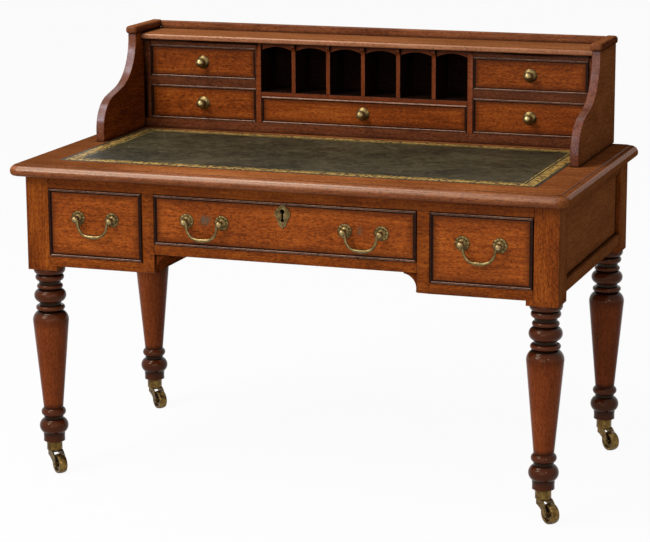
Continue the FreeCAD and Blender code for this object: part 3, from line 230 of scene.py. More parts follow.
WHITE = (1.0, 1.0, 1.0, 1.0)
COOL = (0.78, 0.84, 1.0, 1.0)
WARM = (1.0, 0.84, 0.64, 1.0)
# Near-black for painted shade and shadow, with dirt, in corners, grooves and against beads
SHADE_AND_DIRT = (0.010, 0.004, 0.002)
RING = (0.034, 0.0073, 0.0027)
STAIN = (0.075, 0.070, 0.048)

# Repeats of each figure per metre, along the grain and across it
CLOUDS = (4, 14, 14)
STREAKS = (14, 210, 210)
MOTTLE = (110, 190, 190)
FLECKS = (130, 420, 420)
PATCHES = (16, 30, 30)
RAGS = (230, 230, 230)

# Weight of each figure in the wood's tone, and the tones of the dark, middle and light wood
CLOUD_WEIGHT, STREAK_WEIGHT, MOTTLE_WEIGHT = 0.36, 0.38, 0.26
TONES = (0.35, 0.50, 0.65)
PORE_FLECKS, PORE_SHARE = (0.54, 0.68), 0.80
PALE_FLECKS, PALE_SHARE = (0.44, 0.30), 0.60

# Dirt along the edges of boards; painted shade with dirt in corners; painted shade and shadow with
# dirt against a bead
EDGE_DIRT, EDGE_PATCHES = (16 * MM, 1 * MM), (0.30, 0.62)
CORNER_SHADE_SHARE = 0.92
RIM_SHADE, RIM_SHADOW_AND_DIRT = 0.62, 0.94

# Turned legs: the ends of the shaft, where the rings' darker colour comes in beyond them with a
# fade onto the shaft that paints the shade of the rings, and how far a ring stands out from what is
# above and below it
SHAFT_LOW, SHAFT_HIGH = 153 * MM, 374 * MM
RINGS_BELOW = (SHAFT_LOW + 12 * MM, SHAFT_LOW - 4 * MM)
RINGS_ABOVE = (SHAFT_HIGH - 30 * MM, SHAFT_HIGH + 6 * MM)
HOLLOW_DEPTH, CREST_HEIGHT = (0.0, -2.4 * MM), (0.8 * MM, 3.0 * MM)
# Shares of the rings' colour, of painted shade in their hollows and of a painted highlight on their
# crests
RING_SHARE, GROOVE_SHADE_SHARE, CREST_HIGHLIGHT_SHARE = 0.85, 0.92, 0.16

# Where the top darkens towards its left and right end
LEFT_FADE, RIGHT_FADE = (-0.30, -0.60), (0.42, 0.64)

# How ragged the edge of a stain is
STAIN_RAGGED = 4.5

# The polished surface: spread of its roughness, and its bump from raised streaks and sunk pores
POLISH_SPREAD, POLISH_BUMP, POLISH_DEPTH = 0.16, 0.16, 0.4 * MM
STREAK_RISE, PORE_SINK = 0.4, -0.6


def arris_distance(tree):
    """How far a point on a board lies from the nearest edge of its face."""
    inside = vectors(tree, "ABSOLUTE", attribute(tree, "local"))
    x, y, z = split(tree, vectors(tree, "SUBTRACT", attribute(tree, "half"), inside))
    low = maths(tree, "MINIMUM", x, y)
    high = maths(tree, "MAXIMUM", x, y)
    return maths(tree, "MAXIMUM", low, maths(tree, "MINIMUM", high, z))


def rim_shade_and_dirt(tree, colour, edge, rim, pore):
    """Darken a panel towards its bead as painted shade, with a near-black line against the bead of
    painted shadow and dirt.
    """
    inner, outer, fade = rim
    colour = tinted(tree, colour, span(tree, edge, fade, outer), RIM_SHADE, pore)
    return tinted(tree, colour, span(tree, edge, outer, inner), RIM_SHADOW_AND_DIRT, SHADE_AND_DIRT)


def turned_rings(tree, colour, light):
    """Darken the rings beyond a leg's shaft, with painted shade in their hollows and a painted
    highlight on their crests.
    """
    height = split(tree, position(tree))[2]
    beyond = largest(tree, span(tree, height, *RINGS_BELOW), span(tree, height, *RINGS_ABOVE))
    crest = add(tree, "Attribute", attribute_name="crest").outputs["Fac"]
    hollow = product(tree, span(tree, crest, *HOLLOW_DEPTH), beyond)
    crest_highlight = product(tree, span(tree, crest, *CREST_HEIGHT), beyond)
    colour = tinted(tree, colour, beyond, RING_SHARE, RING)
    colour = tinted(tree, colour, crest_highlight, CREST_HIGHLIGHT_SHARE, light)
    return tinted(tree, colour, hollow, GROOVE_SHADE_SHARE, SHADE_AND_DIRT)


def darker_ends(tree, colour, ends, pore):
    """Darken the top towards its left and right end, each by its own share."""
    along = split(tree, position(tree))[0]
    left = span(tree, along, *LEFT_FADE)
    right = span(tree, along, *RIGHT_FADE)
    return mixed(tree, added(tree, (left, ends[0]), (right, ends[1])), colour, pore)


def stained(tree, colour, x, z, half_width, half_height, share):
    """An old spot with a soft ragged edge, about a place on a drawer front."""
    local = attribute(tree, "local")
    place = split(tree, local)
    across = maths(tree, "DIVIDE", maths(tree, "SUBTRACT", place[0], x), half_width)
    upward = maths(tree, "DIVIDE", maths(tree, "SUBTRACT", place[2], z), half_height)
    ragged = noise(tree, local, RAGS, detail=3.0, rough=0.65)
    away = added(tree, (across, across), (upward, upward), (ragged, STAIN_RAGGED))
    spot = span(tree, away, STAIN_RAGGED / 2 + 0.5, STAIN_RAGGED / 2)
    return tinted(tree, colour, spot, share, STAIN)


def wood(name, colours, gloss, roughness, reach=12, soil=0.45, sheen=WHITE, rim=None, stains=(),
         turned=False, ends=None):
    """Polished mahogany: clouds, streaks and short dark pores along the grain, dirt, and painted
    shade.

    Painted shade with dirt spreads reach mm from a corner, and soil is the share of dirt along the
    edges. The polish reflects as much as gloss says, in the colour of sheen. A drawer front has a
    rim of painted shade and shadow and may have stains, a leg is turned, with painted shade in its
    grooves and painted highlights on its crests, and the top has darker ends.
    """
    dark, middle, light, pore = colours
    material, tree, output = new_tree(name)
    grain = attribute(tree, "grain")
    clouds = noise(tree, grain, CLOUDS, distortion=0.5)
    streaks = noise(tree, grain, STREAKS, detail=3.0, rough=0.55, distortion=0.3)
    mottle = noise(tree, grain, MOTTLE, distortion=0.4)
    flecks = noise(tree, grain, FLECKS, rough=0.6)
    tone = added(tree, (clouds, CLOUD_WEIGHT), (streaks, STREAK_WEIGHT), (mottle, MOTTLE_WEIGHT))
    pores = span(tree, flecks, *PORE_FLECKS)
    colour = ramp(tree, tone, TONES, (dark, middle, light))
    colour = tinted(tree, colour, pores, PORE_SHARE, pore)
    colour = tinted(tree, colour, span(tree, flecks, *PALE_FLECKS), PALE_SHARE, light)

    edge = arris_distance(tree)
    patchy = span(tree, noise(tree, grain, PATCHES), *EDGE_PATCHES)
    soiled = product(tree, span(tree, edge, *EDGE_DIRT), patchy)
    colour = tinted(tree, colour, soiled, soil, pore)
    if rim:
        colour = rim_shade_and_dirt(tree, colour, edge, rim, pore)
    if turned:
        colour = turned_rings(tree, colour, light)
    if ends:
        colour = darker_ends(tree, colour, ends, pore)
    for stain in stains:
        colour = stained(tree, colour, *stain)
    # Painted shade with dirt in corners and grooves, darkest where a point is most enclosed
    colour = tinted(tree, colour, crevice(tree, reach * MM), CORNER_SHADE_SHARE, SHADE_AND_DIRT)

    height = added(tree, (streaks, STREAK_RISE), (pores, PORE_SINK))
    surface(
        tree, output,
        Base_Color=colour,
        Roughness=varied(tree, streaks, roughness, POLISH_SPREAD),
        Specular_IOR_Level=gloss,
        Specular_Tint=sheen,
        Normal=bumped(tree, height, POLISH_BUMP, POLISH_DEPTH),
    )
    return material


# Palettes: dark, middle and light wood, then its pores
RED_BROWN = (
    (0.125, 0.025, 0.004), (0.250, 0.053, 0.007), (0.395, 0.102, 0.014), (0.060, 0.012, 0.002),
)
SMALL_BROWN = (
    (0.095, 0.018, 0.003), (0.190, 0.039, 0.005), (0.300, 0.076, 0.011), (0.045, 0.009, 0.002),
)
POST_BROWN = (
    (0.098, 0.019, 0.002), (0.195, 0.041, 0.004), (0.310, 0.080, 0.009), (0.046, 0.009, 0.002),
)
LEG_BROWN = (
    (0.100, 0.020, 0.005), (0.145, 0.030, 0.007), (0.200, 0.045, 0.011), (0.066, 0.013, 0.003),
)
END_BROWN = (
    (0.130, 0.040, 0.011), (0.190, 0.060, 0.018), (0.260, 0.088, 0.027), (0.070, 0.022, 0.007),
)
DEEP_BROWN = (
    (0.064, 0.013, 0.003), (0.142, 0.029, 0.005), (0.240, 0.057, 0.010), (0.030, 0.006, 0.002),
)
TOP_BROWN = (
    (0.120, 0.032, 0.009), (0.225, 0.066, 0.018), (0.350, 0.120, 0.036), (0.070, 0.022, 0.008),
)
THUMB_BROWN = (
    (0.110, 0.032, 0.012), (0.185, 0.056, 0.021), (0.255, 0.090, 0.038), (0.052, 0.015, 0.006),
)
# Lighter wood, painted as a highlight on the upper round of the top's ends and on the shelf's nose
NOSE_BROWN = (
    (0.165, 0.053, 0.021), (0.265, 0.092, 0.038), (0.355, 0.140, 0.064), (0.075, 0.024, 0.010),
)
UNDER_BROWN = (
    (0.105, 0.029, 0.010), (0.172, 0.051, 0.017), (0.245, 0.082, 0.031), (0.048, 0.013, 0.005),
)
SHELF_BROWN = (
    (0.130, 0.040, 0.012), (0.215, 0.073, 0.024), (0.310, 0.115, 0.042), (0.070, 0.020, 0.007),
)
EDGE_BROWN = (
    (0.064, 0.015, 0.005), (0.118, 0.032, 0.012), (0.186, 0.060, 0.024), (0.026, 0.008, 0.004),
)
HIGHLIGHT_BROWN = (
    (0.190, 0.080, 0.042), (0.320, 0.150, 0.085), (0.460, 0.250, 0.160), (0.090, 0.034, 0.016),
)
PLUM_BROWN = (
    (0.055, 0.014, 0.005), (0.100, 0.027, 0.009), (0.150, 0.046, 0.018), (0.022, 0.006, 0.003),
)
INK_BROWN = (
    (0.010, 0.003, 0.001), (0.020, 0.005, 0.002), (0.036, 0.010, 0.004), (0.006, 0.002, 0.001),
)
BLACK_BROWN = (
    (0.006, 0.003, 0.002), (0.012, 0.005, 0.003), (0.022, 0.008, 0.004), (0.004, 0.002, 0.001),
)

# Drawer panels: where the painted line of shadow and dirt ends and begins, and where the
# painted shade begins, from the edge
LARGE_RIM = (6.6 * MM, 8.2 * MM, 24 * MM)
SMALL_RIM = (5.4 * MM, 6.8 * MM, 18 * MM)
# Spots on the centre drawer: place from its middle, half sizes and share
STAINS = ((-0.184, 0.006, 0.021, 0.017, 0.95), (0.178, 0.004, 0.010, 0.015, 0.50))

front_wood = wood("mahogany_front", RED_BROWN, gloss=0.05, roughness=0.32, rim=LARGE_RIM)
marked_wood = wood("mahogany_marked", RED_BROWN, gloss=0.05, roughness=0.32, rim=LARGE_RIM,
                   stains=STAINS)
small_wood = wood("small_front", SMALL_BROWN, gloss=0.05, roughness=0.32, rim=SMALL_RIM)
# Near-black beads: their dark wood deepened into painted shadow, which also lines the drawer
# openings
bead_shadow = wood("bead_shadow", INK_BROWN, gloss=0.08, roughness=0.25, reach=6, soil=0.0)
# Pale crests of the level beads: a painted highlight
bead_highlight = wood("bead_highlight", HIGHLIGHT_BROWN, gloss=0.40, roughness=0.25, reach=3, soil=0.0)
leg_shaft = wood("mahogany_leg", LEG_BROWN, gloss=0.05, roughness=0.12, reach=34, sheen=WARM,
                 turned=True)
leg_ring = wood("leg_ring", LEG_BROWN, gloss=0.13, roughness=0.11, reach=34, sheen=WARM,
                turned=True)
post_wood = wood("mahogany_post", POST_BROWN, gloss=0.05, roughness=0.34)
end_wood = wood("mahogany_end", END_BROWN, gloss=0.0, roughness=0.40)
# Deep brown painted as the shade under the top and on the inner faces of the gallery's sides
inner_shade_wood = wood("mahogany_inner_shade", DEEP_BROWN, gloss=0.0, roughness=0.40)
# Near-black wood painted as the shade inside the pigeonholes, under the shelf and in the step round
# the top's field
shade_wood = wood("mahogany_shade", BLACK_BROWN, gloss=0.0, roughness=0.60)
top_wood = wood("mahogany_top", TOP_BROWN, gloss=0.0, roughness=0.30, ends=(0.62, 0.30))
thumb_wood = wood("thumb_wood", THUMB_BROWN, gloss=0.46, roughness=0.28, soil=0.2, sheen=WARM)
thumb_under = wood("thumb_under", UNDER_BROWN, gloss=0.06, roughness=0.30, soil=0.2)
end_crest_highlight = wood("end_crest_highlight", NOSE_BROWN, gloss=0.02, roughness=0.30, soil=0.2, sheen=WARM)
thumb_matt = wood("thumb_matt", END_BROWN, gloss=0.0, roughness=0.40, soil=0.2)
nose_wood = wood("nose_wood", NOSE_BROWN, gloss=0.34, roughness=0.26, soil=0.2, sheen=WARM)
shelf_wood = wood("shelf_wood", SHELF_BROWN, gloss=0.0, roughness=0.30)
rail_wood = wood("rail_wood", UNDER_BROWN, gloss=0.05, roughness=0.30)
edge_wood = wood("edge_wood", EDGE_BROWN, gloss=0.30, roughness=0.26, soil=0.2, sheen=COOL)
edge_matt = wood("edge_matt", EDGE_BROWN, gloss=0.0, roughness=0.40, soil=0.2)
arch_wood = wood("mahogany_arch", LEG_BROWN, gloss=0.06, roughness=0.34)
# Dark plum wood painted as the shade on the gallery's outer stiles and rails
frame_shade = wood("frame_shade", PLUM_BROWN, gloss=0.05, roughness=0.34)


# Drawer linings

LINING_STREAKS, LINING_FLECKS = (5, 120, 120), (60, 520, 520)
LINING_TONES = (0.32, 0.50, 0.66)
LINING_PORES, LINING_PORE_SHARE = (0.58, 0.70), 0.5
LINING_REACH, LINING_SHADE_AND_DIRT_SHARE = 25 * MM, 0.6
LINING_BROWN = ((0.13, 0.075, 0.035), (0.24, 0.155, 0.080), (0.34, 0.235, 0.130))


def plain_wood(name, colours):
    """Bare drawer lining: pale streaked oak with open grain."""
    material, tree, output = new_tree(name)
    grain = attribute(tree, "grain")
    streaks = noise(tree, grain, LINING_STREAKS, detail=3.0, rough=0.6)
    flecks = noise(tree, grain, LINING_FLECKS)
    colour = ramp(tree, streaks, LINING_TONES, colours)
    pores = span(tree, flecks, *LINING_PORES)
    colour = tinted(tree, colour, pores, LINING_PORE_SHARE, colours[0])
    # Painted shade with dirt in the corners of the lining
    colour = tinted(tree, colour, crevice(tree, LINING_REACH), LINING_SHADE_AND_DIRT_SHARE, SHADE_AND_DIRT)
    surface(
        tree, output,
        Base_Color=colour,
        Roughness=varied(tree, streaks, middle=0.65, spread=0.2),
        Specular_IOR_Level=0.15,
        Normal=bumped(tree, streaks, strength=0.2, depth=0.5 * MM),
    )
    return material


lining_wood = plain_wood("lining_wood", LINING_BROWN)


# Brass

TARNISH, GRIT = (110, 110, 110), (900, 900, 900)
TARNISH_WEIGHT, GRIT_WEIGHT, HOLLOW_WEIGHT = 0.85, 0.15, 0.45
AGES = (0.34, 0.56, 0.92)

# Palettes: worn bright, in between, and dark in the hollows
# Rubbed brass made lighter still as a painted highlight, for the balls of knobs and rosettes
POLISH_AND_HIGHLIGHT = ((0.380, 0.285, 0.130), (0.230, 0.163, 0.068), (0.018, 0.012, 0.005))
BRIGHT = ((0.235, 0.168, 0.070), (0.130, 0.088, 0.034), (0.012, 0.008, 0.003))
AGED = ((0.200, 0.138, 0.054), (0.088, 0.057, 0.020), (0.004, 0.002, 0.001))
PATINA = ((0.215, 0.132, 0.038), (0.098, 0.056, 0.016), (0.007, 0.004, 0.002))
IRON = ((0.016, 0.013, 0.011), (0.006, 0.005, 0.004))


def brass(name, colours, roughness, reach, ages=AGES):
    """Aged brass: dark patina up to reach mm out of the hollows, worn bright on what stands out."""
    material, tree, output = new_tree(name)
    place = add(tree, "TexCoord").outputs["Object"]
    tarnish = noise(tree, place, TARNISH, detail=3.0, rough=0.6)
    grit = noise(tree, place, GRIT, rough=0.6)
    hollow = crevice(tree, reach * MM)
    age = added(tree, (tarnish, TARNISH_WEIGHT), (grit, GRIT_WEIGHT), (hollow, HOLLOW_WEIGHT))
    surface(
        tree, output,
        Base_Color=ramp(tree, age, ages, colours),
        Metallic=1.0,
        Roughness=varied(tree, age, roughness, spread=0.30),
        Normal=bumped(tree, grit, strength=0.04, depth=0.3 * MM),
    )
    return material


brass_bail = brass("brass_bail", BRIGHT, roughness=0.35, reach=3)
brass_rim = brass("brass_rim", BRIGHT, roughness=0.42, reach=5)
brass_plate = brass("brass_plate", AGED, roughness=0.40, reach=3)
brass_ball = brass("brass_ball", POLISH_AND_HIGHLIGHT, roughness=0.40, reach=4)
brass_caster = brass("brass_caster", PATINA, roughness=0.36, reach=8)
iron_dark = brass("iron_dark", IRON, roughness=0.55, reach=8, ages=(0.4, 0.7))


# Leather

# The border, from the leather's edge: plain gilt lines with their half widths, and between the
# first two a band of two crossing strands with an eye in each gap
BORDER_LINES = ((10.5 * MM, 1.3 * MM), (29.5 * MM, 1.0 * MM), (37.5 * MM, 1.2 * MM))
BAND_MIDDLE, BAND_HALF, BAND_REPEAT = 20.0 * MM, 10.0 * MM, 24 * MM
STRAND_SWING, STRAND_HALF = 5.8 * MM, 2.2 * MM
EYE_HALF, EYE_BEAT = 2.6 * MM, (-0.45, -0.75)
SOFTNESS = 0.7
SEAM = (2.4 * MM, 1.2 * MM)

# The hide: repeats per metre of what marks it, its colours, and how far each one covers it
RUBBED, DAPPLE, SCUFFS = (44, 64, 1), (6, 8, 1), (70, 240, 1)
RUBBED_WEIGHT, DAPPLE_WEIGHT = 0.66, 0.34
GILT_WEAR, GILT_KEPT = (110, 110, 1), (0.42, 0.54)
PEBBLES, PEBBLE_RISE, GILT_SINK = (620, 620, 620), 0.5, -1.0
HIDE_TONES = (0.41, 0.50, 0.59)
HIDE_COLOURS = ((0.011, 0.0098, 0.0052), (0.028, 0.0230, 0.0114), (0.056, 0.0445, 0.0235))
SCUFFED, SCUFF_SHARE, SCUFF_COLOUR = (0.60, 0.68), 0.60, (0.160, 0.140, 0.086)
BAND_SHARE, BAND_COLOUR = 0.75, (0.062, 0.022, 0.008)
SEAM_COLOUR = (0.003, 0.002, 0.002)
GILT_COLOUR, GILT_METAL = (0.74, 0.480, 0.115), 0.5


def leather(name, low, high):
    """Dark rubbed hide, with a gilt interlaced border pressed in along its edges."""
    material, tree, output = new_tree(name)
    place = position(tree)
    x, y, _ = split(tree, place)

    def inward(value, first, last):
        """How far a point lies inside two opposite edges."""
        off_middle = maths(tree, "SUBTRACT", value, (first + last) / 2)
        return maths(tree, "SUBTRACT", (last - first) / 2, maths(tree, "ABSOLUTE", off_middle))

    from_end = inward(x, low.x, high.x)
    from_side = inward(y, low.y, high.y)
    edge = maths(tree, "MINIMUM", from_end, from_side)
    at_end = maths(tree, "LESS_THAN", from_end, from_side)
    ways = {MIX_FACTOR: at_end, MIX_NUMBER_A: x, MIX_NUMBER_B: y}
    run = add(tree, "Mix", ways, data_type="FLOAT").outputs[MIX_NUMBER_OUT]

    def line(level, half):
        """A soft line at a level in from the edge."""
        gap = maths(tree, "ABSOLUTE", maths(tree, "SUBTRACT", edge, level))
        return span(tree, gap, half, half * SOFTNESS)

    wave = maths(tree, "SINE", product(tree, run, 2 * math.pi / BAND_REPEAT))
    beat = maths(tree, "COSINE", product(tree, run, 4 * math.pi / BAND_REPEAT))
    strands = [
        line(maths(tree, "MULTIPLY_ADD", wave, swing, BAND_MIDDLE), STRAND_HALF)
        for swing in (STRAND_SWING, -STRAND_SWING)
    ]
    eyes = product(tree, line(BAND_MIDDLE, EYE_HALF), span(tree, beat, *EYE_BEAT))
    gilt = largest(tree, eyes, *strands, *(line(level, half) for level, half in BORDER_LINES))
    wear = noise(tree, place, GILT_WEAR, detail=3.0, rough=0.7)
    gilt = product(tree, gilt, span(tree, wear, *GILT_KEPT))

    streaks = noise(tree, place, RUBBED, detail=6.0, rough=0.76, distortion=0.8)
    dapple = noise(tree, place, DAPPLE, detail=3.0, rough=0.55, distortion=0.5)
    scuffs = noise(tree, place, SCUFFS, detail=3.0, rough=0.7, distortion=1.0)
    tone = added(tree, (streaks, RUBBED_WEIGHT), (dapple, DAPPLE_WEIGHT))
    hide = ramp(tree, tone, HIDE_TONES, HIDE_COLOURS)
    hide = tinted(tree, hide, span(tree, scuffs, *SCUFFED), SCUFF_SHARE, SCUFF_COLOUR)
    hide = tinted(tree, hide, line(BAND_MIDDLE, BAND_HALF), BAND_SHARE, BAND_COLOUR)
    hide = mixed(tree, span(tree, edge, *SEAM), hide, SEAM_COLOUR)
    pebbled = {"Vector": vectors(tree, "MULTIPLY", place, PEBBLES), "Scale": 1.0}
    cells = add(tree, "TexVoronoi", pebbled).outputs["Distance"]
    height = added(tree, (cells, PEBBLE_RISE), (gilt, GILT_SINK))
    surface(
        tree, output,
        Base_Color=mixed(tree, gilt, hide, GILT_COLOUR),
        Roughness=varied(tree, streaks, middle=0.465, spread=0.25),
        Specular_IOR_Level=0.05,
        Metallic=product(tree, gilt, GILT_METAL),
        Normal=bumped(tree, height, strength=0.25, depth=0.4 * MM),
    )
    return material


desk_leather = leather("leather", *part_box("leather_inset"))


# Pieces made from the solids

# Vertices nearer than this are one, faces flatter than this are one, and edges sharper are creased
WELD = 0.001 * MM
FLAT_ANGLE = 0.004
SHARP_ANGLE = math.radians(32)

# How far apart boards may lie in the wood's figure, and where a ring is compared with its profile
GRAIN_SHIFT = 40
CREST_REACH = np.array((-9, -6, -3, 3, 6, 9)) * MM

# A face looks along an axis when its normal has more than this of it
FACING = 0.7
FIELD_UP, TOP_END, TOP_END_UPPER, TOP_FRONT_UPPER = 0.9, 0.25, 0.45, 0.2
SHELF_UP, SHELF_END = 0.8, 0.6
CREST_FRONT, CREST_UP = 0.8, 0.5
SHIELD_FRONT = 0.9

# Where parts of a piece meet: the step round the top's field, the lower ends of the posts, the
# pigeonholes, the stiles and rail round them, and the upper end of a leg's shaft
STEP_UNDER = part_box("desk_top")[1].z - 2.1 * MM
POST_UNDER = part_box("front_frame")[0].z - 11.1 * MM
PIGEON_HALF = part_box("pigeonhole_arches")[1].x + 1 * MM
PIGEON_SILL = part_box("pigeonhole_dividers")[0].z - 1 * MM
STILE_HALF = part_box("gallery_drawer_upper_right_front")[0].x
RAIL_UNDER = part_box("gallery_drawer_middle_front")[0].z
SHOULDER = SHAFT_HIGH - 8 * MM

# The bead of a drawer front, the foot's share of a knob, and the rim of the lock shield
BEAD_PROUD, BEAD_WIDTH = 1.8 * MM, 4.2 * MM
KNOB_FOOT = 0.42
SHIELD_RIM, SHIELD_SINK = 1.5 * MM, 0.5 * MM


def islands(bm):
    """The separate solids of a mesh, as lists of vertices, in a fixed order."""
    left = set(bm.verts)
    solids = []
    while left:
        found = []
        stack = [left.pop()]
        while stack:
            vertex = stack.pop()
            found.append(vertex)
            for edge in vertex.link_edges:
                other = edge.other_vert(vertex)
                if other in left:
                    left.remove(other)
                    stack.append(other)
        solids.append(found)

    def lowest(found):
        return tuple(round(c, 4) for c in min(v.co[:] for v in found))

    return sorted(solids, key=lowest)


def box_of(vertices):
    """The lowest and highest corner of some vertices."""
    low = Vector([min(v.co[i] for v in vertices) for i in range(3)])
    high = Vector([max(v.co[i] for v in vertices) for i in range(3)])
    return low, high


def longest(sizes):
    """The axis along which something is longest."""
    return max(range(3), key=lambda i: sizes[i])


def middle_of(face):
    """The middle of a face."""
    return face.calc_center_median()


def solid_copy(node):
    """A node's mesh with its flat faces whole again, smooth except at sharp edges."""
    bm = bmesh.new()
    bm.from_mesh(nodes[node].data)
    bmesh.ops.remove_doubles(bm, verts=bm.verts, dist=WELD)
    bmesh.ops.dissolve_limit(bm, angle_limit=FLAT_ANGLE, verts=bm.verts, edges=bm.edges)
    for face in bm.faces:
        face.smooth = True
    for edge in bm.edges:
        edge.smooth = edge.calc_face_angle(0.0) < SHARP_ANGLE
    return bm


def finish_piece(bm, node, materials, bevel=0.0):
    """Put finished geometry in the scene in place of a CAD node.

    With a bevel its sharp edges are eased by so many mm, and take the last material.
    """
    mesh = bpy.data.meshes.new(node + "_piece")
    bm.to_mesh(mesh)
    bm.free()
    for material in materials:
        mesh.materials.append(material)
    piece = bpy.data.objects.new(node + "_piece", mesh)
    scene.collection.objects.link(piece)
    if bevel:
        easing = piece.modifiers.new("eased", "BEVEL")
        easing.width = bevel * MM
        easing.segments = 2
        easing.limit_method = "ANGLE"
        easing.angle_limit = SHARP_ANGLE
        easing.material = len(materials) - 1
        piece.modifiers.new("even", "WEIGHTED_NORMAL")
    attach(piece, nodes[node]["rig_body"])
    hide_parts(node)


def mark_crests(bm, top, axis):
    """Keep on each turned vertex how far it stands out from the profile above and below it."""
    layer = bm.verts.layers.float.new("crest")
    profile = {}
    for vertex in bm.verts:
        if vertex.co.z < top:
            level = round(vertex.co.z, 4)
            profile[level] = max(profile.get(level, 0.0), (vertex.co.xy - axis).length)
    levels = sorted(profile)
    radii = [profile[level] for level in levels]
    for vertex in bm.verts:
        if vertex.co.z < top:
            around = np.interp(vertex.co.z + CREST_REACH, levels, radii).mean()
            vertex[layer] = float(profile[round(vertex.co.z, 4)] - around)


def along_grain(place, axis, shift):
    """A place with the axis of the grain first."""
    return Vector([place[(axis + i) % 3] for i in range(3)]) + shift


def any_shift(dice):
    """A place in the wood, from seeded dice."""
    return Vector([dice.uniform(0, GRAIN_SHIFT) for _ in range(3)])


def timber(node, materials, bevel=0.0, grain=None, choose=None,
           boards_above=-1.0):
    """A wooden node with its grain laid along each board.

    materials has a name for each, and choose gives a face's name, or else each face takes the
    first. Below boards_above the node is turned, so it has no straight edges there.
    """
    bm = solid_copy(node)
    layers = bm.verts.layers.float_vector
    along, local, half = (layers.new(name) for name in ("grain", "local", "half"))
    dice = random.Random(node)
    for found in islands(bm):
        low, high = box_of([v for v in found if v.co.z > boards_above])
        sizes = high - low
        axis = longest(sizes) if grain is None else grain
        shift = any_shift(dice)
        for vertex in found:
            vertex[along] = along_grain(vertex.co, axis, shift)
            vertex[local] = vertex.co - (low + high) / 2
            vertex[half] = sizes / 2 if vertex.co.z > boards_above else Vector((1, 1, 1))
        if boards_above > 0:
            mark_crests(bm, boards_above, ((low + high) / 2).xy)
    names = list(materials)
    for face in bm.faces:
        face.material_index = names.index(choose(face)) if choose else 0
    finish_piece(bm, node, list(materials.values()), bevel)


def lining(node):
    """Bare boards, with the grain along the longer side of each face."""
    bm = solid_copy(node)
    along = bm.loops.layers.float_vector.new("grain")
    shift = any_shift(random.Random(node))
    for face in bm.faces:
        low, high = box_of(face.verts)
        axis = longest(high - low)
        for loop in face.loops:
            loop[along] = along_grain(loop.vert.co, axis, shift)
    finish_piece(bm, node, [lining_wood])


def metal(node, material, bevel=0.0):
    """A brass node, with eased edges where it has a bevel."""
    finish_piece(solid_copy(node), node, [material], bevel)


def knob(node):
    """A small brass knob, dark at its foot and bright on its ball: rubbed, and painted with a
    highlight.
    """
    bm = solid_copy(node)
    low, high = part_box(node)
    neck = high.y - (high.y - low.y) * KNOB_FOOT
    for face in bm.faces:
        face.material_index = int(middle_of(face).y < neck)
    finish_piece(bm, node, [brass_plate, brass_ball])


def shield(node):
    """The lock shield, with a raised rim round its outline and its keyhole."""
    bm = solid_copy(node)
    front = [face for face in bm.faces if face.normal.y < -SHIELD_FRONT]
    bmesh.ops.inset_region(
        bm, faces=front, thickness=SHIELD_RIM, depth=-SHIELD_SINK, use_even_offset=True,
    )
    for face in bm.faces:
        face.smooth = False
        face.material_index = int(face not in front)
    finish_piece(bm, node, [brass_plate, brass_rim], bevel=0.3)


# Which material each face of a wooden piece takes

def leg_face(face):
    """Turned shaft or rings, or the sides or front and back of the post."""
    height = middle_of(face).z
    if height < POST_UNDER:
        return "shaft" if SHAFT_LOW < height < SHOULDER else "ring"
    return "side" if abs(face.normal.x) > FACING else "front"


def top_face(face):
    """Level field, the step round it painted near-black as shadow, or the upper or lower half of
    the rounded edge, whose upper half at the ends is painted lighter as a highlight.
    """
    if face.normal.z > FIELD_UP:
        return "field"
    if middle_of(face).z > STEP_UNDER:
        return "step"
    if abs(face.normal.x) > TOP_END:
        return "upper_end" if face.normal.z > TOP_END_UPPER else "lower_end"
    return "upper_front" if face.normal.z > TOP_FRONT_UPPER else "lower_front"


def side_face(face):
    """Curved edge, inner face or outer face of a gallery side."""
    if abs(face.normal.x) < FACING:
        return "edge"
    return "outer" if face.normal.x * middle_of(face).x > 0 else "inner"


def frame_face(face):
    """Inside of the pigeonholes, painted near-black as shade; their stiles and sill; or the outer
    stiles and rails, painted darker as shade.
    """
    middle = middle_of(face)
    if abs(middle.x) < PIGEON_HALF and middle.z > PIGEON_SILL and face.normal.y > -FACING:
        return "hollow"
    return "inner" if abs(middle.x) < STILE_HALF and middle.z > RAIL_UNDER else "outer"


def level_face(face):
    """Level top, underside, end or rounded nose of a shelf or rail."""
    if face.normal.z > SHELF_UP:
        return "top"
    if face.normal.z < -FACING:
        return "under"
    return "end" if abs(face.normal.x) > SHELF_END else "nose"


def back_face(face):
    """Inside or outside of the gallery's back board."""
    return "inside" if face.normal.y < -FACING else "outside"


def arch_face(face):
    """Back of an arched valance, or the rest of it."""
    return "back" if face.normal.y > FACING else "front"


def divider_face(face):
    """Broad side of a divider, or its edges."""
    return "side" if abs(face.normal.x) > FACING else "edge"


def drawer_face(node):
    """A chooser for a drawer front: panel, bead painted near-black with its shadow, or its crest
    along top and bottom painted pale as a highlight.
    """
    low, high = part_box(node)
    bead_back = low.y + BEAD_PROUD
    middle_z = (low.z + high.z) / 2
    bead_from = (high.z - low.z) / 2 - BEAD_WIDTH

    def choose(face):
        middle = middle_of(face)
        if middle.y > bead_back or face.normal.y > FACING:
            return "panel"
        level = abs(middle.z - middle_z) > bead_from
        highlit = face.normal.y < -CREST_FRONT or face.normal.z > CREST_UP
        return "crest" if level and highlit else "bead"

    return choose


leg_woods = {"shaft": leg_shaft, "front": post_wood, "side": end_wood, "ring": leg_ring}
for corner in CORNERS:
    timber(f"leg_{corner}", leg_woods, grain=2, choose=leg_face, boards_above=POST_UNDER)
# The eased arrises round the drawer openings are painted near-black as shadow in the gap
timber("front_frame", {"all": post_wood, "eased": bead_shadow}, bevel=0.9)
for node in ("end_rails", "end_panels", "back_board"):
    timber(node, {"all": end_wood}, bevel=0.8)
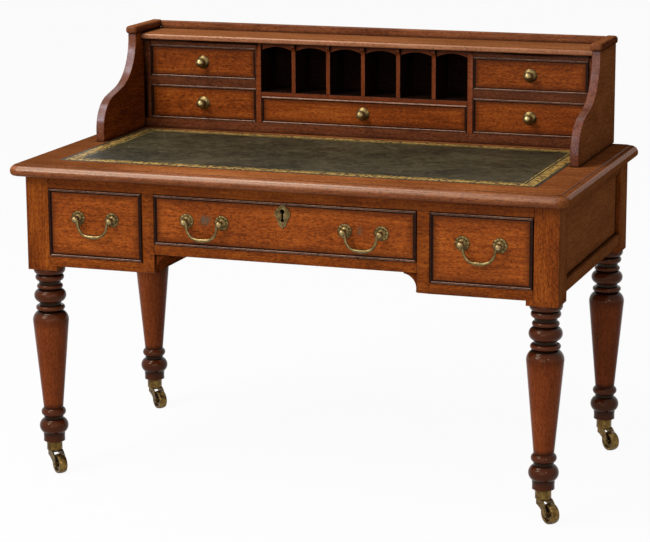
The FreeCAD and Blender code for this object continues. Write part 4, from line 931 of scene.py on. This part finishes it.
# The kneehole's cheeks and brackets are painted dark as the shade under the top
for node in ("kneehole_cheeks", "kneehole_brackets"):
    timber(node, {"all": inner_shade_wood}, bevel=0.8)
timber("desk_top", {
    "upper_front": thumb_wood,
    "field": top_wood,
    "lower_end": thumb_matt,
    "step": shade_wood,
    "lower_front": thumb_under,
    "upper_end": end_crest_highlight,
}, bevel=0.6, choose=top_face)
timber("gallery_sides", {
    "edge": edge_wood,
    "inner": inner_shade_wood,
    "outer": end_wood,
    "eased": edge_matt,
}, bevel=1.6, choose=side_face)
# The shelf's underside is painted near-black as the shade under it
timber("gallery_shelf", {
    "nose": nose_wood,
    "top": shelf_wood,
    "under": shade_wood,
    "end": thumb_matt,
}, choose=level_face)
timber("gallery_capping", {
    "nose": rail_wood,
    "top": shelf_wood,
    "under": edge_matt,
    "end": edge_matt,
}, choose=level_face)
timber("gallery_frame", {
    "inner": arch_wood,
    "hollow": shade_wood,
    "outer": frame_shade,
    "eased": frame_shade,
}, bevel=0.7, choose=frame_face)
# The back's inside, the arches' backs and the dividers' sides are painted near-black as the shade
# in the pigeonholes
timber("gallery_back", {"outside": end_wood, "inside": shade_wood}, choose=back_face)
timber("pigeonhole_arches", {
    "front": arch_wood,
    "back": shade_wood,
    "eased": edge_wood,
}, bevel=0.5, choose=arch_face)
timber("pigeonhole_dividers", {
    "edge": arch_wood,
    "side": shade_wood,
    "eased": edge_wood,
}, bevel=0.5, grain=2, choose=divider_face)

lining("drawer_runners")
panels = {"drawer_left": front_wood, "drawer_centre": marked_wood, "drawer_right": front_wood}
panels.update({f"gallery_drawer_{place}": small_wood for place in SMALL_DRAWERS})
for drawer, panel in panels.items():
    front = f"{drawer}_front"
    front_woods = {"panel": panel, "bead": bead_shadow, "crest": bead_highlight}
    timber(front, front_woods, grain=0, choose=drawer_face(front))
    lining(f"{drawer}_box")

finish_piece(solid_copy("leather_inset"), "leather_inset", [desk_leather], bevel=0.8)

shield("keyhole_escutcheon")
metal("lock_case", iron_dark, bevel=0.4)
metal("lock_bolt", brass_bail, bevel=0.3)
metal("caster_cups", brass_caster)
for corner in CORNERS:
    metal(f"caster_fork_{corner}", brass_caster, bevel=0.6)
    metal(f"caster_wheel_{corner}", brass_caster, bevel=0.5)
for place in SMALL_DRAWERS:
    knob(f"gallery_drawer_{place}_knob")


# Handles

# The posts of a bail, and the pins of the solid bail that go into them
POST_SPACING = 84 * MM
PIN_RADIUS = 2.6 * MM

# A bail hangs as a squared half oval, thicker at the middle of its grip, in mm
BAIL_HALF_WIDTH, BAIL_DROP, BAIL_SQUARENESS = 36.5, 39.0, 2.6
BAIL_RADIUS, GRIP_SWELL, GRIP_REACH = 3.3, 1.9, 15
BAIL_STEPS, BAIL_SIDES = 40, 16

# A rosette from its rim to the end of its post: radius and height off the drawer in mm, and how
# far the petals shape it
ROSE = (
    (17.0, 0.0, 1.0), (17.0, 0.9, 1.0), (16.4, 1.6, 1.0), (15.0, 2.3, 1.0), (13.2, 2.7, 1.0),
    (11.4, 2.5, 1.0), (10.2, 2.0, 0.8), (9.4, 1.9, 0.4), (8.6, 2.6, 0.0), (7.6, 3.3, 0.0),
    (6.4, 3.6, 0.0), (5.4, 4.4, 0.0), (4.4, 5.2, 0.0), (3.9, 6.4, 0.0), (3.7, 9.0, 0.0),
    (3.8, 11.6, 0.0),
)
BALL_RADIUS, BALL_HEIGHT, BALL_STEPS = 7.9, 17, 12
BALL_FROM, BALL_SWEEP = math.radians(-42), math.radians(132)
BALL_TIP = (0.25, 24.89, 0.0)
# Above this height off the drawer the brass is rubbed bright and painted with a highlight
BRIGHT_FROM = 8 * MM
PETALS, ROSE_SIDES = 10, 80
NOTCH_WIDTH, NOTCH_DEPTH = 0.07, 0.34


def skin(bm, rings):
    """Quads between rings of equal count, with the first and last ring filled."""
    for before, after in zip(rings, rings[1:]):
        for index in range(len(before)):
            last = index - 1
            quad = (before[last], before[index], after[index], after[last])
            bm.faces.new(quad).smooth = True
    bm.faces.new(reversed(rings[0]))
    bm.faces.new(rings[-1])


def bail_line():
    """Points of a bail from one post to the other, each with its radius."""
    half = []
    for step in range(BAIL_STEPS + 1):
        angle = math.radians(90) * step / BAIL_STEPS
        x = BAIL_HALF_WIDTH * math.sin(angle) ** (2 / BAIL_SQUARENESS)
        z = -BAIL_DROP * max(math.cos(angle), 0.0) ** (2 / BAIL_SQUARENESS)
        half.append((x, z, BAIL_RADIUS + GRIP_SWELL * math.exp(-((x / GRIP_REACH) ** 2))))
    return [(-x, z, radius) for x, z, radius in reversed(half[1:])] + half


def make_bail(node, x, z):
    """One bail as a tapering round bar along its curve."""
    low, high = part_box(node)
    y = (low.y + high.y) / 2
    line = bail_line()
    bm = bmesh.new()
    rings = []
    for index, (across, up, radius) in enumerate(line):
        before = line[max(index - 1, 0)]
        after = line[min(index + 1, len(line) - 1)]
        tangent = Vector((after[0] - before[0], 0, after[1] - before[1])).normalized()
        normal = Vector((-tangent.z, 0, tangent.x))
        centre = Vector((x + across * MM, y, z + up * MM))
        ring = []
        for side in range(BAIL_SIDES):
            angle = 2 * math.pi * side / BAIL_SIDES
            offset = normal * math.cos(angle) + Vector((0, 1, 0)) * math.sin(angle)
            ring.append(bm.verts.new(centre + offset * radius * MM))
        rings.append(ring)
    skin(bm, rings)
    bmesh.ops.recalc_face_normals(bm, faces=bm.faces)
    finish_piece(bm, node, [brass_bail])


def rose_line():
    """Points of a rosette with its post and the ball on its end."""
    line = list(ROSE)
    for step in range(1, BALL_STEPS):
        angle = BALL_FROM + BALL_SWEEP * step / BALL_STEPS
        height = BALL_HEIGHT + BALL_RADIUS * math.sin(angle)
        line.append((BALL_RADIUS * math.cos(angle), height, 0.0))
    return line + [BALL_TIP]


def make_plates(node, places):
    """Petalled rosettes with their ball-ended posts."""
    face_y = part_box(node)[1].y
    bm = bmesh.new()
    for x, z in places:
        rings = []
        for radius, height, shaped in rose_line():
            ring = []
            for side in range(ROSE_SIDES):
                angle = 2 * math.pi * side / ROSE_SIDES
                notch = 1 - abs(math.cos(PETALS * angle / 2))
                out = radius * (1 - shaped * NOTCH_WIDTH * notch ** 1.5) * MM
                rise = height * (1 - shaped * NOTCH_DEPTH * notch ** 2) * MM
                point = (x + out * math.cos(angle), face_y - rise, z + out * math.sin(angle))
                ring.append(bm.verts.new(point))
            rings.append(ring)
        skin(bm, rings)
    bmesh.ops.recalc_face_normals(bm, faces=bm.faces)
    for face in bm.faces:
        face.material_index = int(face_y - middle_of(face).y > BRIGHT_FROM)
    finish_piece(bm, node, [brass_plate, brass_ball])


for drawer, bails in (
    ("left", ("bail_left",)),
    ("centre", ("bail_centre_left", "bail_centre_right")),
    ("right", ("bail_right",)),
):
    posts = []
    for bail in bails:
        low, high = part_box(bail)
        x = (low.x + high.x) / 2
        z = high.z - PIN_RADIUS
        make_bail(bail, x, z)
        posts += [(x - POST_SPACING / 2, z), (x + POST_SPACING / 2, z)]
    make_plates(f"drawer_{drawer}_plates", posts)


# Floor, light and camera

FLOOR_REACH = 30.0
FLOOR_GREY = (0.60, 0.60, 0.60, 1.0)
FLOOR_GLOW = 0.95
WORLD_LIGHT = 0.32

# The photograph's view: focal length and width in pixels, and where the camera stands
PHOTO_FOCAL, PHOTO_WIDTH = 2399.0, 650
AZIMUTH, ELEVATION, ROLL = math.radians(19.475), math.radians(12.428), math.radians(-0.28)
DISTANCE = 5.6035
TARGET = Vector((-0.0162, 0.009, 0.4564))
SENSOR_WIDTH = 36.0
SIGHT = 100.0


def seen_rays(tree):
    """1 for what the camera sees straight, mirrored or through glass, and 0 for other light."""
    rays = add(tree, "LightPath").outputs
    return largest(tree, rays["Is Camera Ray"], rays["Is Glossy Ray"], rays["Is Transmission Ray"])


def make_floor():
    """A wide pale floor that keeps the object's shadow."""
    material, tree, output = new_tree("floor_pale")
    matt = add(tree, "BsdfDiffuse", {"Color": FLOOR_GREY}).outputs[0]
    glow = add(tree, "Emission", {"Color": WHITE, "Strength": 1.0}).outputs[0]
    share = product(tree, seen_rays(tree), FLOOR_GLOW)
    mix = add(tree, "MixShader", {0: share, 1: matt, 2: glow})
    tree.links.new(mix.outputs[0], output.inputs[0])
    mesh = bpy.data.meshes.new("floor")
    signs = ((-1, -1), (1, -1), (1, 1), (-1, 1))
    corners = [(x * FLOOR_REACH, y * FLOOR_REACH, 0) for x, y in signs]
    mesh.from_pydata(corners, [], [(0, 1, 2, 3)])
    mesh.materials.append(material)
    floor = bpy.data.objects.new("floor", mesh)
    scene.collection.objects.link(floor)


def make_world():
    """Dim even light all round, and white behind the object."""
    world = bpy.data.worlds.new("studio")
    scene.world = world
    world.use_nodes = True
    tree = world.node_tree
    tree.nodes.clear()
    output = tree.nodes.new("ShaderNodeOutputWorld")
    strength = maths(tree, "MULTIPLY_ADD", seen_rays(tree), 1.0 - WORLD_LIGHT, WORLD_LIGHT)
    back = add(tree, "Background", {"Color": WHITE, "Strength": strength})
    tree.links.new(back.outputs[0], output.inputs[0])


def make_lamp(name, place, target, size, watts):
    """A soft square lamp that faces a point."""
    lamp = bpy.data.lights.new(name, "AREA")
    lamp.shape = "SQUARE"
    lamp.size = size
    lamp.energy = watts
    holder = bpy.data.objects.new(name, lamp)
    holder.location = place
    holder.rotation_euler = (Vector(target) - Vector(place)).to_track_quat("-Z", "Y").to_euler()
    scene.collection.objects.link(holder)


def make_camera():
    """The photograph's view."""
    back = Vector((
        math.sin(AZIMUTH) * math.cos(ELEVATION),
        -math.cos(AZIMUTH) * math.cos(ELEVATION),
        math.sin(ELEVATION),
    ))
    lens = bpy.data.cameras.new("camera")
    lens.sensor_fit = "HORIZONTAL"
    lens.sensor_width = SENSOR_WIDTH
    lens.lens = PHOTO_FOCAL * SENSOR_WIDTH / PHOTO_WIDTH
    lens.clip_end = SIGHT
    camera = bpy.data.objects.new("camera", lens)
    turn = back.to_track_quat("Z", "Y").to_matrix().to_4x4() @ Matrix.Rotation(ROLL, 4, "Z")
    camera.matrix_world = Matrix.Translation(TARGET + back * DISTANCE) @ turn
    scene.collection.objects.link(camera)
    scene.camera = camera


make_floor()
make_world()
make_lamp("key", place=(-2.4, -3.6, 4.2), target=(0.0, 0.0, 0.6), size=2.6, watts=165)
make_lamp("window_left", place=(-3.0, -4.4, 3.2), target=(0.0, 0.0, 0.5), size=0.4, watts=46)
make_lamp("window_right", place=(3.2, -4.0, 2.8), target=(0.0, 0.0, 0.5), size=0.4, watts=26)
make_lamp("front_fill", place=(0.4, -5.2, 1.6), target=(0.0, 0.0, 0.5), size=3.0, watts=52)
make_lamp("top", place=(-1.3, -0.7, 3.6), target=(0.0, -0.1, 0.7), size=1.3, watts=66)
make_camera()
scene.view_settings.view_transform = "Standard"
